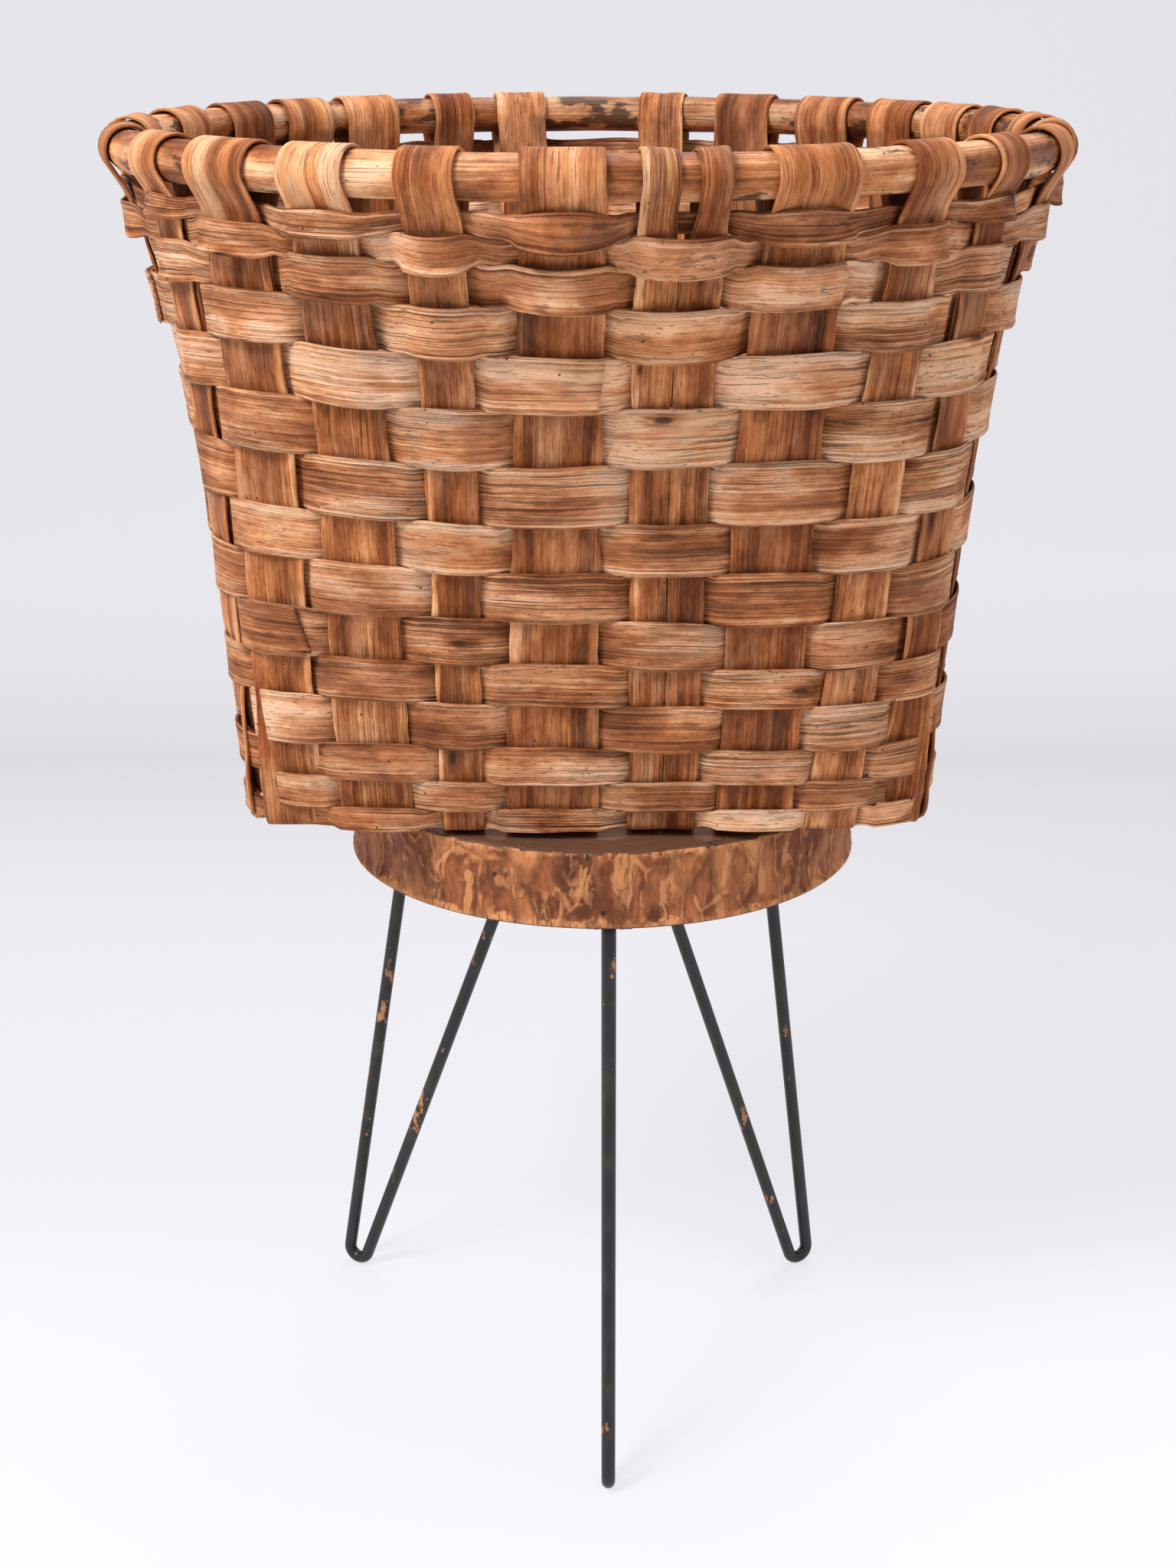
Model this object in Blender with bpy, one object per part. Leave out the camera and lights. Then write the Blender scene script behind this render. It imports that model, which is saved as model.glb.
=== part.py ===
"""Woven splint basket standing on a wood slab with three hairpin legs.

Metres, +Z up. The floor is z = 0 and the basket's axis is x = y = 0. The front of the
basket faces -Y. An azimuth is measured round the axis from the front, positive towards +X.
"""
import math

import bmesh
import bpy
from mathutils import Vector

# Stand
SLAB_UNDERSIDE = 0.4070        # height of the slab's underside above the floor
SLAB_THICKNESS = 0.0530
SLAB_RADIUS = 0.1800
SLAB_CENTRE_X = 0.0104         # the slab sits a little off the basket's axis
SLAB_CHAMFER = 0.0040
SLAB_WAVE = 0.0016             # how far the hewn edge wanders from a true circle
SLAB_SIDES = 48
LEG_ROD_RADIUS = 0.00475
LEG_BEND_RADIUS = 0.0085       # centreline radius of the bend at the foot
LEG_ROD_SIDES = 10
LEG_BEND_FLATS = 3             # flats in each half of the bend, beside the one on the floor
LEG_FLOOR_FLAT = math.radians(28)   # how much of the bend is flat on the floor
PLATE_THICKNESS = 0.0040
PLATE_WIDTH = 0.0300
PLATE_OVERHANG = 0.0180        # plate beyond each rod's centre
PLATE_SCREW_INSET = 0.0065     # from the plate's edges to a screw's centre
LEG_SCREW_LENGTH = 0.0300
SCREW_RADIUS = 0.0020
SCREW_HEAD_RADIUS = 0.0042
SCREW_HEAD_HEIGHT = 0.0024
SCREW_CLEARANCE = 0.0004       # radial, round every shank
SCREW_SIDES = 8
SCREW_TIP_RADIUS = 0.0004
SCREW_TIP_SHARE = 0.15         # share of a screw's length that tapers to its tip
HEAD_TOP_SHARE = 0.45          # a head's dome: share of its radius at the top,
HEAD_MID_SHARE = 0.85          # share of its radius
HEAD_MID_HEIGHT = 0.60         # at this share of its height
PILOT_EXTRA = 0.0010           # pilot hole beyond a screw's tip
CUT_OVERSHOOT = 0.0020         # a cutter's reach beyond the face it opens

# Edges that turn less than this are smooth
SMOOTH_ROUND = math.radians(60)
SMOOTH_SLAB = math.radians(35)
SMOOTH_SCREW = math.radians(40)

# Each leg: foot, outer rod top and inner rod top, as x, y in slab radii
LEGS = {
    "front": ((0.0783, -1.1378), (0.0750, -0.8333), (0.0750, -0.2722)),
    "left": ((-1.0356, 0.5617), (-0.7389, 0.3972), (-0.2500, 0.1261)),
    "right": ((0.9483, 0.5617), (0.7333, 0.4328), (0.2333, 0.1406)),
}

# Basket
BASE_HALF_X = 0.2300           # wall centre at the bottom row, left and right
BASE_HALF_Y = 0.1490           # wall centre at the bottom row, front and back
BASE_SQUARENESS = 5.7          # superellipse power at the bottom
TOP_SQUARENESS = 2.0           # a circle at the top row
SQUARENESS_FADE = 1.00
SIDE_LEAN = 0.476              # share of the sides' flare that is a straight lean
SIDE_FLARE_POWER = 4.5         # how late the rest of the flare comes
FRONT_LEAN = 0.600
FRONT_FLARE_POWER = 4.5
HOOP_RADIUS = 0.3000
HOOP_STICK_RADIUS = 0.0134
HOOP_SEGMENTS = 65
HOOP_SIDES = 8
WALL_HEIGHT = 0.4040           # from the bottom row's lower edge to the top row's upper edge
TOP_ROW_OUTSET = 0.0020        # wall centre at the top row, outside the hoop's centreline
HOOP_LIFT = 0.0220             # hoop centre above the top row

SPLINT_THICKNESS = 0.0024
WEAVER_THICKNESS = 0.0020
WEAVE_GAP = 0.0006             # between strips that touch in the weave
ROW_GAP = 0.0012               # between one weaver row and the next
HOOP_GAP = 0.0006              # between the stick and the strips that go over it
FIT_GAP = 0.0003               # between other pieces that rest on each other
FOLD_RADIUS = 0.0035           # splint centreline where the base turns up into the wall
EDGE_MARGIN = 0.0008           # a weaver turns this far past a splint's edge
TWIST_END = 0.30               # share of the wall's height where a splint has turned square to it
HOOP_WRAP_POINTS = 7
TAIL_NARROWING = 0.0015        # each side, where a tail is tucked in
TAIL_BELOW_TUCK = 0.0080
TAIL_FLATS = 2                 # flats in a tail's tucked stretch
SHARPEST_MITRE = 0.5           # cosine past which a strip's bend is no longer mitred
LAP_START = 0.0010             # a weaver's first end, inside the lap

# Each weaver row's share of the wall's height, bottom row first
ROW_SHARES = (
    0.03218, 0.04703, 0.05941, 0.07797, 0.07005, 0.07847, 0.08292, 0.08168,
    0.09406, 0.08911, 0.08045, 0.07302, 0.06064, 0.04084, 0.03218,
)

# The strip of each row ends over this splint, counted round the ring from the front left one
LAP_AT = (7, 20, 11, 16, 19, 0, 15, 22, 13, 18, 3, 24, 5, 14, 21)

# Splints that run front to back: x and width on the base, in BASE_HALF_X, then the azimuth in
# degrees and the width, in HOOP_RADIUS, at the front rim, and both at the back rim
LONG_SPLINT_TABLE = (
    (-0.8348, 0.1739, -42.8, 0.1733, -134.3, 0.1467),
    (-0.5957, 0.2087, -29.4, 0.1467, -145.6, 0.1533),
    (-0.3522, 0.1174, -16.5, 0.1167, -159.0, 0.1133),
    (-0.1000, 0.2609, -2.5, 0.1600, -169.7, 0.1333),
    (0.2087, 0.1913, 9.9, 0.1667, 168.8, 0.1233),
    (0.4696, 0.2174, 23.9, 0.1733, 156.0, 0.1533),
    (0.6870, 0.1478, 39.2, 0.1267, 142.4, 0.1567),
    (0.8783, 0.1435, 52.4, 0.1133, 129.6, 0.1533),
)

# Splints that run left to right: y and width on the base, in BASE_HALF_Y, then the azimuth in
# degrees and the width, in HOOP_RADIUS, at the left rim, and both at the right rim
CROSS_SPLINT_TABLE = (
    (-0.7047, 0.2550, -56.9, 0.1267, 69.4, 0.1333),
    (-0.3490, 0.2550, -74.4, 0.1333, 81.0, 0.1133),
    (0.0000, 0.2550, -91.0, 0.1333, 94.0, 0.1267),
    (0.3490, 0.2550, -108.0, 0.1467, 107.5, 0.1333),
    (0.7047, 0.2550, -122.5, 0.1533, 118.7, 0.1467),
)

# Screws that hold the basket down: long splint they go through, and y in BASE_HALF_Y
BASE_SCREWS = ((1, -0.1745), (1, 0.1745), (5, -0.1745), (5, 0.1745))
BASE_SCREW_LENGTH = 0.0320
WASHER_RADIUS = 0.0058
WASHER_THICKNESS = 0.0012



def splint_sizes(table, base_half):
    """A splint table's rows in metres and degrees."""
    return [
        (place * base_half, width * base_half,
         turn0, width0 * HOOP_RADIUS, turn1, width1 * HOOP_RADIUS)
        for place, width, turn0, width0, turn1, width1 in table
    ]


# Sizes and heights that follow from the ones above
LONG_SPLINTS = splint_sizes(LONG_SPLINT_TABLE, BASE_HALF_X)
CROSS_SPLINTS = splint_sizes(CROSS_SPLINT_TABLE, BASE_HALF_Y)
ROW_HEIGHTS = [share * WALL_HEIGHT for share in ROW_SHARES]
SLAB_TOP = SLAB_UNDERSIDE + SLAB_THICKNESS
LAYER = SPLINT_THICKNESS + WEAVE_GAP
BASE_Z = SLAB_TOP + FIT_GAP + SPLINT_THICKNESS / 2 + LAYER
WALL_BOTTOM = BASE_Z + FOLD_RADIUS
WALL_TOP = WALL_BOTTOM + WALL_HEIGHT
ROW_LEVELS = [WALL_BOTTOM + sum(ROW_HEIGHTS[:i]) for i in range(len(ROW_HEIGHTS) + 1)]
HOOP_Z = WALL_TOP + HOOP_LIFT
TOP_ROW_RADIUS = HOOP_RADIUS + TOP_ROW_OUTSET
WASHER_BOTTOM = BASE_Z + SPLINT_THICKNESS / 2 + FIT_GAP
WASHER_TOP = WASHER_BOTTOM + WASHER_THICKNESS
PLATE_TOP = SLAB_UNDERSIDE - FIT_GAP
PLATE_BOTTOM = PLATE_TOP - PLATE_THICKNESS
UP = Vector((0.0, 0.0, 1.0))


def clear_scene():
    for old in list(bpy.data.objects):
        bpy.data.objects.remove(old, do_unlink=True)


def make_material(name, color, roughness, metallic=0.0):
    material = bpy.data.materials.new(name)
    material.use_nodes = True
    shader = material.node_tree.nodes["Principled BSDF"]
    shader.inputs["Base Color"].default_value = (*color, 1.0)
    shader.inputs["Roughness"].default_value = roughness
    shader.inputs["Metallic"].default_value = metallic
    return material


def add_object(name, bm, material, smooth_angle=None):
    """Turn a bmesh into a named object with its faces pointing out."""
    bmesh.ops.recalc_face_normals(bm, faces=bm.faces)
    mesh = bpy.data.meshes.new(name)
    bm.to_mesh(mesh)
    bm.free()
    mesh.materials.append(material)
    if smooth_angle is not None:
        mesh.shade_smooth()
        mesh.set_sharp_from_angle(angle=smooth_angle)
    made = bpy.data.objects.new(name, mesh)
    bpy.context.collection.objects.link(made)
    return made


def add_cutter(name, bm):
    bmesh.ops.recalc_face_normals(bm, faces=bm.faces)
    mesh = bpy.data.meshes.new(name)
    bm.to_mesh(mesh)
    bm.free()
    cutter = bpy.data.objects.new(name, mesh)
    bpy.context.collection.objects.link(cutter)
    cutter.hide_render = True
    cutter.display_type = "WIRE"
    return cutter


def cut_with(target, cutter):
    modifier = target.modifiers.new("holes", "BOOLEAN")
    modifier.operation = "DIFFERENCE"
    modifier.solver = "EXACT"
    modifier.object = cutter


def mix(a, b, share):
    return a + (b - a) * share


def smooth_step(x):
    x = min(max(x, 0.0), 1.0)
    return x * x * (3.0 - 2.0 * x)


def wall_share(z):
    """0 at the bottom row, 1 at the top row."""
    return min(max((z - WALL_BOTTOM) / (WALL_TOP - WALL_BOTTOM), 0.0), 1.0)


def wall_section(z):
    """Half sizes and squareness of the wall's outline at a height."""
    t = wall_share(z)
    side = SIDE_LEAN * t + (1.0 - SIDE_LEAN) * t ** SIDE_FLARE_POWER
    front = FRONT_LEAN * t + (1.0 - FRONT_LEAN) * t ** FRONT_FLARE_POWER
    half_x = mix(BASE_HALF_X, TOP_ROW_RADIUS, side)
    half_y = mix(BASE_HALF_Y, TOP_ROW_RADIUS, front)
    power = mix(TOP_SQUARENESS, BASE_SQUARENESS, (1.0 - t) ** SQUARENESS_FADE)
    return half_x, half_y, power


def wall_point(azimuth, z):
    """Point on the wall's centre surface."""
    half_x, half_y, power = wall_section(z)
    across = abs(math.sin(azimuth) / half_x) ** power
    along = abs(math.cos(azimuth) / half_y) ** power
    radius = (across + along) ** (-1.0 / power)
    return Vector((radius * math.sin(azimuth), -radius * math.cos(azimuth), z))


def wall_tangent(azimuth, z):
    """Level direction along the wall, towards a growing azimuth."""
    step = math.radians(0.5)
    return (wall_point(azimuth + step, z) - wall_point(azimuth - step, z)).normalized()


class SplintEnd:
    """One end of a splint: where it climbs the wall and goes over the hoop."""

    def __init__(self, base_point, base_tangent, base_width, rim_degrees, rim_width):
        self.base_azimuth = math.atan2(base_point.x, -base_point.y)
        turn = math.radians(rim_degrees) - self.base_azimuth
        self.turn = math.atan2(math.sin(turn), math.cos(turn))
        self.rim_azimuth = self.base_azimuth + self.turn
        self.base_tangent = base_tangent
        self.base_width = base_width
        self.rim_width = rim_width
        self.ring_index = None
        self.edges = [self.wall_edges(z) for z in ROW_LEVELS]
        self.normals = [self.facet_normal(i) for i in range(len(ROW_HEIGHTS))]

    def wall_edges(self, z):
        """The centre line's two edge points at a height, in order of azimuth."""
        t = wall_share(z)
        azimuth = self.base_azimuth + self.turn * t
        square = smooth_step(t / TWIST_END)
        tangent = mix(self.base_tangent, wall_tangent(azimuth, z), square).normalized()
        half = tangent * mix(self.base_width, self.rim_width, t) / 2
        centre = wall_point(azimuth, z)
        return centre - half, centre + half

    def facet_normal(self, row):
        """Outward normal of the flat that a weaver row crosses."""
        low_left, low_right = self.edges[row]
        high_left, high_right = self.edges[row + 1]
        return (high_right - low_left).cross(high_left - low_right).normalized()

    def level_normal(self, level):
        """Normal at a row boundary, halfway between its two flats."""
        below = self.normals[max(level - 1, 0)]
        above = self.normals[min(level, len(self.normals) - 1)]
        middle = (below + above).normalized()
        return middle / middle.dot(above)

    def tuck_row(self):
        """The row, counted from 0 at the bottom, that holds the tail inside."""
        top = len(ROW_HEIGHTS) - 1
        return top - 2 if self.weaver_inside(top) else top - 3

    def weaver_inside(self, row):
        return (self.ring_index + row) % 2 == 0

    def wrap_over_hoop(self):
        """Edge points over the hoop, from the top row round to the tucked tail's end."""
        azimuth = self.rim_azimuth
        outward = Vector((math.sin(azimuth), -math.cos(azimuth), 0.0))
        half = Vector((math.cos(azimuth), math.sin(azimuth), 0.0)) * self.rim_width / 2
        wrap_radius = HOOP_STICK_RADIUS + HOOP_GAP + SPLINT_THICKNESS / 2
        sag = self.rim_width ** 2 / (8 * HOOP_RADIUS) + HOOP_GAP / 2
        tail = self.tail_edges()
        tail_top = (tail[0][0] + tail[0][1]) / 2
        first = tangent_angle(TOP_ROW_OUTSET, -HOOP_LIFT, wrap_radius, side=1)
        tail_out = tail_top.dot(outward) - HOOP_RADIUS + sag
        last = tangent_angle(tail_out, tail_top.z - HOOP_Z, wrap_radius, side=-1)
        if last < first:
            last += 2 * math.pi
        step = (last - first) / HOOP_WRAP_POINTS
        corner_radius = wrap_radius / math.cos(step / 2)
        stations = []
        for i in range(HOOP_WRAP_POINTS):
            angle = first + step * (i + 0.5)
            shift = sag * max(0.0, -math.cos(angle))
            out = HOOP_RADIUS + corner_radius * math.cos(angle) - shift
            centre = outward * out + UP * (HOOP_Z + corner_radius * math.sin(angle))
            narrowing = TAIL_NARROWING * i / HOOP_WRAP_POINTS
            slim = half * (1.0 - 2.0 * narrowing / self.rim_width)
            stations.append((centre - slim, centre + slim))
        return stations + tail

    def tail_edges(self):
        """The tail's tucked stretch, from the top of its row downwards."""
        row = self.tuck_row()
        share = 1.0 - TAIL_BELOW_TUCK / ROW_HEIGHTS[row - 1]
        levels = []
        for level in (row + 1, row):
            levels.append((*self.edges[level], self.level_normal(level)))
        low_left = mix(self.edges[row - 1][0], self.edges[row][0], share)
        low_right = mix(self.edges[row - 1][1], self.edges[row][1], share)
        levels.append((low_left, low_right, self.normals[row - 1]))
        stations = []
        for left, right, normal in levels:
            slim = (right - left).normalized() * TAIL_NARROWING
            inward = normal * -LAYER
            stations.append((left + slim + inward, right - slim + inward))
        return stations

    def climb(self):
        """All stations from the bottom of the wall to the tail's end."""
        return self.edges + self.wrap_over_hoop()


def tangent_angle(out, up, radius, side):
    """Angle round a circle at which a line from the point (out, up) touches it."""
    reach = math.hypot(out, up)
    return math.atan2(up, out) + side * math.acos(radius / reach)


def ribbon(bm, stations, thickness, tail_flats):
    """A flat strip through pairs of edge points, with closed ends.

    The flats bend along the same diagonal as the weavers that lie on them. At both ends,
    tail_flats of them run the other way up the wall, so their diagonal is the other one.
    """
    normals = []
    for (a0, a1), (b0, b1) in zip(stations, stations[1:]):
        normals.append((b0 - a1).cross(b1 - a0).normalized())
    rings = []
    for i, (edge0, edge1) in enumerate(stations):
        before = normals[max(i - 1, 0)]
        after = normals[min(i, len(normals) - 1)]
        middle = (before + after).normalized()
        offset = middle * (thickness / 2 / max(middle.dot(after), SHARPEST_MITRE))
        corners = (edge0 + offset, edge1 + offset, edge1 - offset, edge0 - offset)
        rings.append([bm.verts.new(corner) for corner in corners])
    for i, (a, b) in enumerate(zip(rings, rings[1:])):
        in_tail = i < tail_flats or i >= len(normals) - tail_flats
        for edge0, edge1 in ((0, 1), (3, 2)):
            near, far = (edge0, edge1) if in_tail else (edge1, edge0)
            bm.faces.new((a[near], a[far], b[far]))
            bm.faces.new((a[near], b[far], b[near]))
        for j, k in ((1, 2), (3, 0)):
            bm.faces.new((a[j], a[k], b[k]))
            bm.faces.new((a[j], b[k], b[j]))
    bm.faces.new(rings[0])
    bm.faces.new(list(reversed(rings[-1])))


def tube(bm, rings):
    """Join rings of points with the same count into a closed tube."""
    loops = [[bm.verts.new(point) for point in ring] for ring in rings]
    count = len(loops[0])
    for a, b in zip(loops, loops[1:]):
        for i in range(count):
            j = (i + 1) % count
            bm.faces.new((a[i], a[j], b[j], b[i]))
    bm.faces.new(loops[0])
    bm.faces.new(list(reversed(loops[-1])))


def turned(bm, centre, axis, profile, sides):
    """A solid turned round an axis from pairs of height and radius, with flat ends."""
    side = axis.orthogonal().normalized()
    other = axis.cross(side)
    rings = []
    for height, radius in profile:
        ring = []
        for i in range(sides):
            angle = 2 * math.pi * i / sides
            reach = side * math.cos(angle) + other * math.sin(angle)
            ring.append(centre + axis * height + reach * radius)
        rings.append(ring)
    tube(bm, rings)


def make_splint_ends():
    """Every splint's two ends, and all ends in order round the ring."""
    half_x, half_y, power = wall_section(WALL_BOTTOM)
    pairs = []
    for x, width, front_azimuth, front_width, back_azimuth, back_width in LONG_SPLINTS:
        reach = half_y * (1.0 - abs(x / half_x) ** power) ** (1.0 / power)
        front = SplintEnd(Vector((x, -reach, 0)), Vector((1, 0, 0)), width,
                          front_azimuth, front_width)
        back = SplintEnd(Vector((x, reach, 0)), Vector((-1, 0, 0)), width,
                         back_azimuth, back_width)
        pairs.append((front, back))
    for y, width, left_azimuth, left_width, right_azimuth, right_width in CROSS_SPLINTS:
        reach = half_x * (1.0 - abs(y / half_y) ** power) ** (1.0 / power)
        left = SplintEnd(Vector((-reach, y, 0)), Vector((0, -1, 0)), width,
                         left_azimuth, left_width)
        right = SplintEnd(Vector((reach, y, 0)), Vector((0, 1, 0)), width,
                          right_azimuth, right_width)
        pairs.append((left, right))
    first = pairs[0][0].rim_azimuth
    full = 2 * math.pi
    ring = sorted((end for pair in pairs for end in pair),
                  key=lambda end: (end.rim_azimuth - first + 0.001) % full)
    for index, end in enumerate(ring):
        end.ring_index = index
    return pairs, ring


def base_stations(start, finish, levels):
    """Edge points along the base, between the two folds.

    levels holds pairs of place along the splint and height above BASE_Z.
    """
    low_left, low_right = start.edges[0]
    far_left, far_right = finish.edges[0]
    begin = (low_left + low_right) / 2
    end = (far_left + far_right) / 2
    along = (end - begin).normalized()
    half = (low_right - low_left) / 2
    half_turn = math.pi / 2
    stations = []
    for share in (0.5, 0.0):
        angle = half_turn * share
        centre = begin + along * FOLD_RADIUS * (1 - math.sin(angle))
        centre.z = WALL_BOTTOM - FOLD_RADIUS * math.cos(angle)
        stations.append((centre - half, centre + half))
    for place, lift in levels:
        centre = begin + along * (place - begin.dot(along))
        centre.z = BASE_Z + lift
        stations.append((centre - half, centre + half))
    for share in (0.0, 0.5):
        angle = half_turn * share
        centre = end - along * FOLD_RADIUS * (1 - math.sin(angle))
        centre.z = WALL_BOTTOM - FOLD_RADIUS * math.cos(angle)
        stations.append((centre - half, centre + half))
    return stations


def whole_splint(start, finish, levels):
    """Stations of one splint, from one tail over the basket to the other tail."""
    down = list(reversed(start.climb()))
    across = base_stations(start, finish, levels)
    up = [(right, left) for left, right in finish.climb()]
    return down + across + up


def make_splints(pairs, wood):
    made = []
    for index, (front, back) in enumerate(pairs[:len(LONG_SPLINTS)]):
        bm = bmesh.new()
        ribbon(bm, whole_splint(front, back, ()), SPLINT_THICKNESS, TAIL_FLATS)
        made.append(add_object(f"splint_long_{index + 1}", bm, wood))
    for index, (left, right) in enumerate(pairs[len(LONG_SPLINTS):]):
        levels = []
        for number, (x, width, *_) in enumerate(LONG_SPLINTS):
            lift = LAYER if (index + number) % 2 == 0 else -LAYER
            reach = width / 2 + EDGE_MARGIN
            levels.append((x - reach, lift))
            levels.append((x + reach, lift))
        bm = bmesh.new()
        ribbon(bm, whole_splint(left, right, levels), SPLINT_THICKNESS, TAIL_FLATS)
        made.append(add_object(f"splint_cross_{index + 1}", bm, wood))
    return made


def weaver_stations(row, ring):
    """Edge points of one weaver row: bottom and top point at each side of each splint."""
    first = LAP_AT[row] % len(ring)
    if ring[first].weaver_inside(row):
        first = (first + 1) % len(ring)
    outside = (SPLINT_THICKNESS + WEAVER_THICKNESS) / 2 + WEAVE_GAP
    inset = ROW_GAP / 2 / ROW_HEIGHTS[row]
    stations = []
    for count in range(len(ring) + 1):
        end = ring[(first + count) % len(ring)]
        low_left, low_right = end.edges[row]
        high_left, high_right = end.edges[row + 1]
        offset = outside
        if end.weaver_inside(row):
            tucked = LAYER if row == end.tuck_row() else 0.0
            offset = -(outside + tucked)
        if count == len(ring):
            offset = outside + WEAVER_THICKNESS + WEAVE_GAP
        left_margin = -LAP_START if count == 0 else EDGE_MARGIN
        right_margin = -LAP_START if count == len(ring) else EDGE_MARGIN
        for low, high, way, margin in ((low_left, high_left, -1, left_margin),
                                       (low_right, high_right, 1, right_margin)):
            along = (low_right - low_left + high_right - high_left).normalized()
            shift = along * (way * margin) + end.normals[row] * offset
            stations.append((mix(low, high, inset) + shift, mix(high, low, inset) + shift))
    return stations


def make_weavers(ring, wood):
    for row in range(len(ROW_HEIGHTS)):
        bm = bmesh.new()
        flat_strip(bm, weaver_stations(row, ring), WEAVER_THICKNESS)
        add_object(f"weaver_row_{row + 1:02d}", bm, wood)


def flat_strip(bm, stations, thickness):
    """A woven strip: both stations at one splint share that splint's normal."""
    rings = []
    for left, right in zip(stations[0::2], stations[1::2]):
        normal = (right[1] - left[0]).cross(left[1] - right[0]).normalized()
        offset = normal * thickness / 2
        for low, high in (left, right):
            corners = (low + offset, high + offset, high - offset, low - offset)
            rings.append([bm.verts.new(corner) for corner in corners])
    for a, b in zip(rings, rings[1:]):
        bm.faces.new((a[0], b[1], a[1]))
        bm.faces.new((a[0], b[0], b[1]))
        bm.faces.new((a[3], a[2], b[2]))
        bm.faces.new((a[3], b[2], b[3]))
        for i, j in ((1, 2), (3, 0)):
            bm.faces.new((a[i], a[j], b[j]))
            bm.faces.new((a[i], b[j], b[i]))
    bm.faces.new(rings[0])
    bm.faces.new(list(reversed(rings[-1])))


def make_hoop(wood):
    """The rim: a debarked stick bent into a ring."""
    half_step = math.pi / HOOP_SEGMENTS
    ring_radius = HOOP_RADIUS * (1 + 1 / math.cos(half_step)) / 2
    bm = bmesh.new()
    loops = []
    for i in range(HOOP_SEGMENTS):
        azimuth = 2 * math.pi * i / HOOP_SEGMENTS
        outward = Vector((math.sin(azimuth), -math.cos(azimuth), 0.0))
        loop = []
        for j in range(HOOP_SIDES):
            angle = 2 * math.pi * j / HOOP_SIDES
            out = ring_radius + HOOP_STICK_RADIUS * math.cos(angle)
            point = outward * out + UP * (HOOP_Z + HOOP_STICK_RADIUS * math.sin(angle))
            loop.append(bm.verts.new(point))
        loops.append(loop)
    for i in range(HOOP_SEGMENTS):
        a = loops[i]
        b = loops[(i + 1) % HOOP_SEGMENTS]
        for j in range(HOOP_SIDES):
            k = (j + 1) % HOOP_SIDES
            bm.faces.new((a[j], a[k], b[k], b[j]))
    add_object("rim_hoop", bm, wood, smooth_angle=SMOOTH_ROUND)


def make_slab(wood):
    """A round slice of trunk with a hewn side."""
    bm = bmesh.new()
    rings = []
    for height, inset in ((0.0, SLAB_CHAMFER), (SLAB_CHAMFER, 0.0),
                          (SLAB_THICKNESS - SLAB_CHAMFER, 0.0), (SLAB_THICKNESS, SLAB_CHAMFER)):
        ring = []
        for i in range(SLAB_SIDES):
            angle = 2 * math.pi * i / SLAB_SIDES
            wave = SLAB_WAVE * (math.sin(3 * angle + 0.6) + math.sin(7 * angle)) / 2
            radius = SLAB_RADIUS - SLAB_WAVE + wave - inset
            ring.append(Vector((SLAB_CENTRE_X + radius * math.cos(angle),
                                radius * math.sin(angle), SLAB_UNDERSIDE + height)))
        rings.append(ring)
    tube(bm, rings)
    return add_object("stand_slab", bm, wood, smooth_angle=SMOOTH_SLAB)


def leg_frame(leg):
    """Foot centre, the level direction of the hairpin's plane, and both tops along it."""
    foot, outer, inner = (Vector((*place, 0.0)) * SLAB_RADIUS for place in LEGS[leg])
    outward = (outer - inner).normalized()
    return foot, outward, (outer - foot).dot(outward), (inner - foot).dot(outward)


def make_leg(leg, steel):
    """One rod bent into a hairpin, both tops ending under the plate."""
    foot, outward, outer_at, inner_at = leg_frame(leg)
    sideways = outward.cross(UP)
    top = PLATE_BOTTOM - FIT_GAP
    centre_height = LEG_ROD_RADIUS * math.cos(math.pi / LEG_ROD_SIDES) + LEG_BEND_RADIUS
    rise = top - centre_height
    right = tangent_angle(outer_at, rise, LEG_BEND_RADIUS, side=-1)
    left = tangent_angle(inner_at, rise, LEG_BEND_RADIUS, side=1)
    bottom = -math.pi / 2
    while left > bottom:
        left -= 2 * math.pi
    angles = [left]
    for i in range(LEG_BEND_FLATS):
        angles.append(mix(left, bottom - LEG_FLOOR_FLAT / 2, (i + 1) / LEG_BEND_FLATS))
    for i in range(LEG_BEND_FLATS):
        angles.append(mix(bottom + LEG_FLOOR_FLAT / 2, right, i / LEG_BEND_FLATS))
    angles.append(right)
    line = [(inner_at, rise)]
    for angle in angles:
        line.append((LEG_BEND_RADIUS * math.cos(angle), LEG_BEND_RADIUS * math.sin(angle)))
    line.append((outer_at, rise))
    points = []
    lowest = min(up for _, up in line)
    for out, up in line:
        lift = -LEG_BEND_RADIUS - lowest
        points.append(foot + outward * out + UP * (centre_height + up + lift * (up < 0)))
    points[0].z = top
    points[-1].z = top
    rings = []
    for i, point in enumerate(points):
        before = (point - points[max(i - 1, 0)]).normalized()
        after = (points[min(i + 1, len(points) - 1)] - point).normalized()
        along = (before + after).normalized()
        across = along.cross(sideways).normalized() / max(along.dot(before), along.dot(after))
        ring = []
        for j in range(LEG_ROD_SIDES):
            angle = 2 * math.pi * (j + 0.5) / LEG_ROD_SIDES
            reach = across * math.cos(angle) + sideways * math.sin(angle)
            place = point + reach * LEG_ROD_RADIUS
            if i in (0, len(points) - 1):
                place += along * ((top - place.z) / along.z)
            ring.append(place)
        rings.append(ring)
    bm = bmesh.new()
    tube(bm, rings)
    add_object(f"hairpin_leg_{leg}", bm, steel, smooth_angle=SMOOTH_ROUND)


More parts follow.
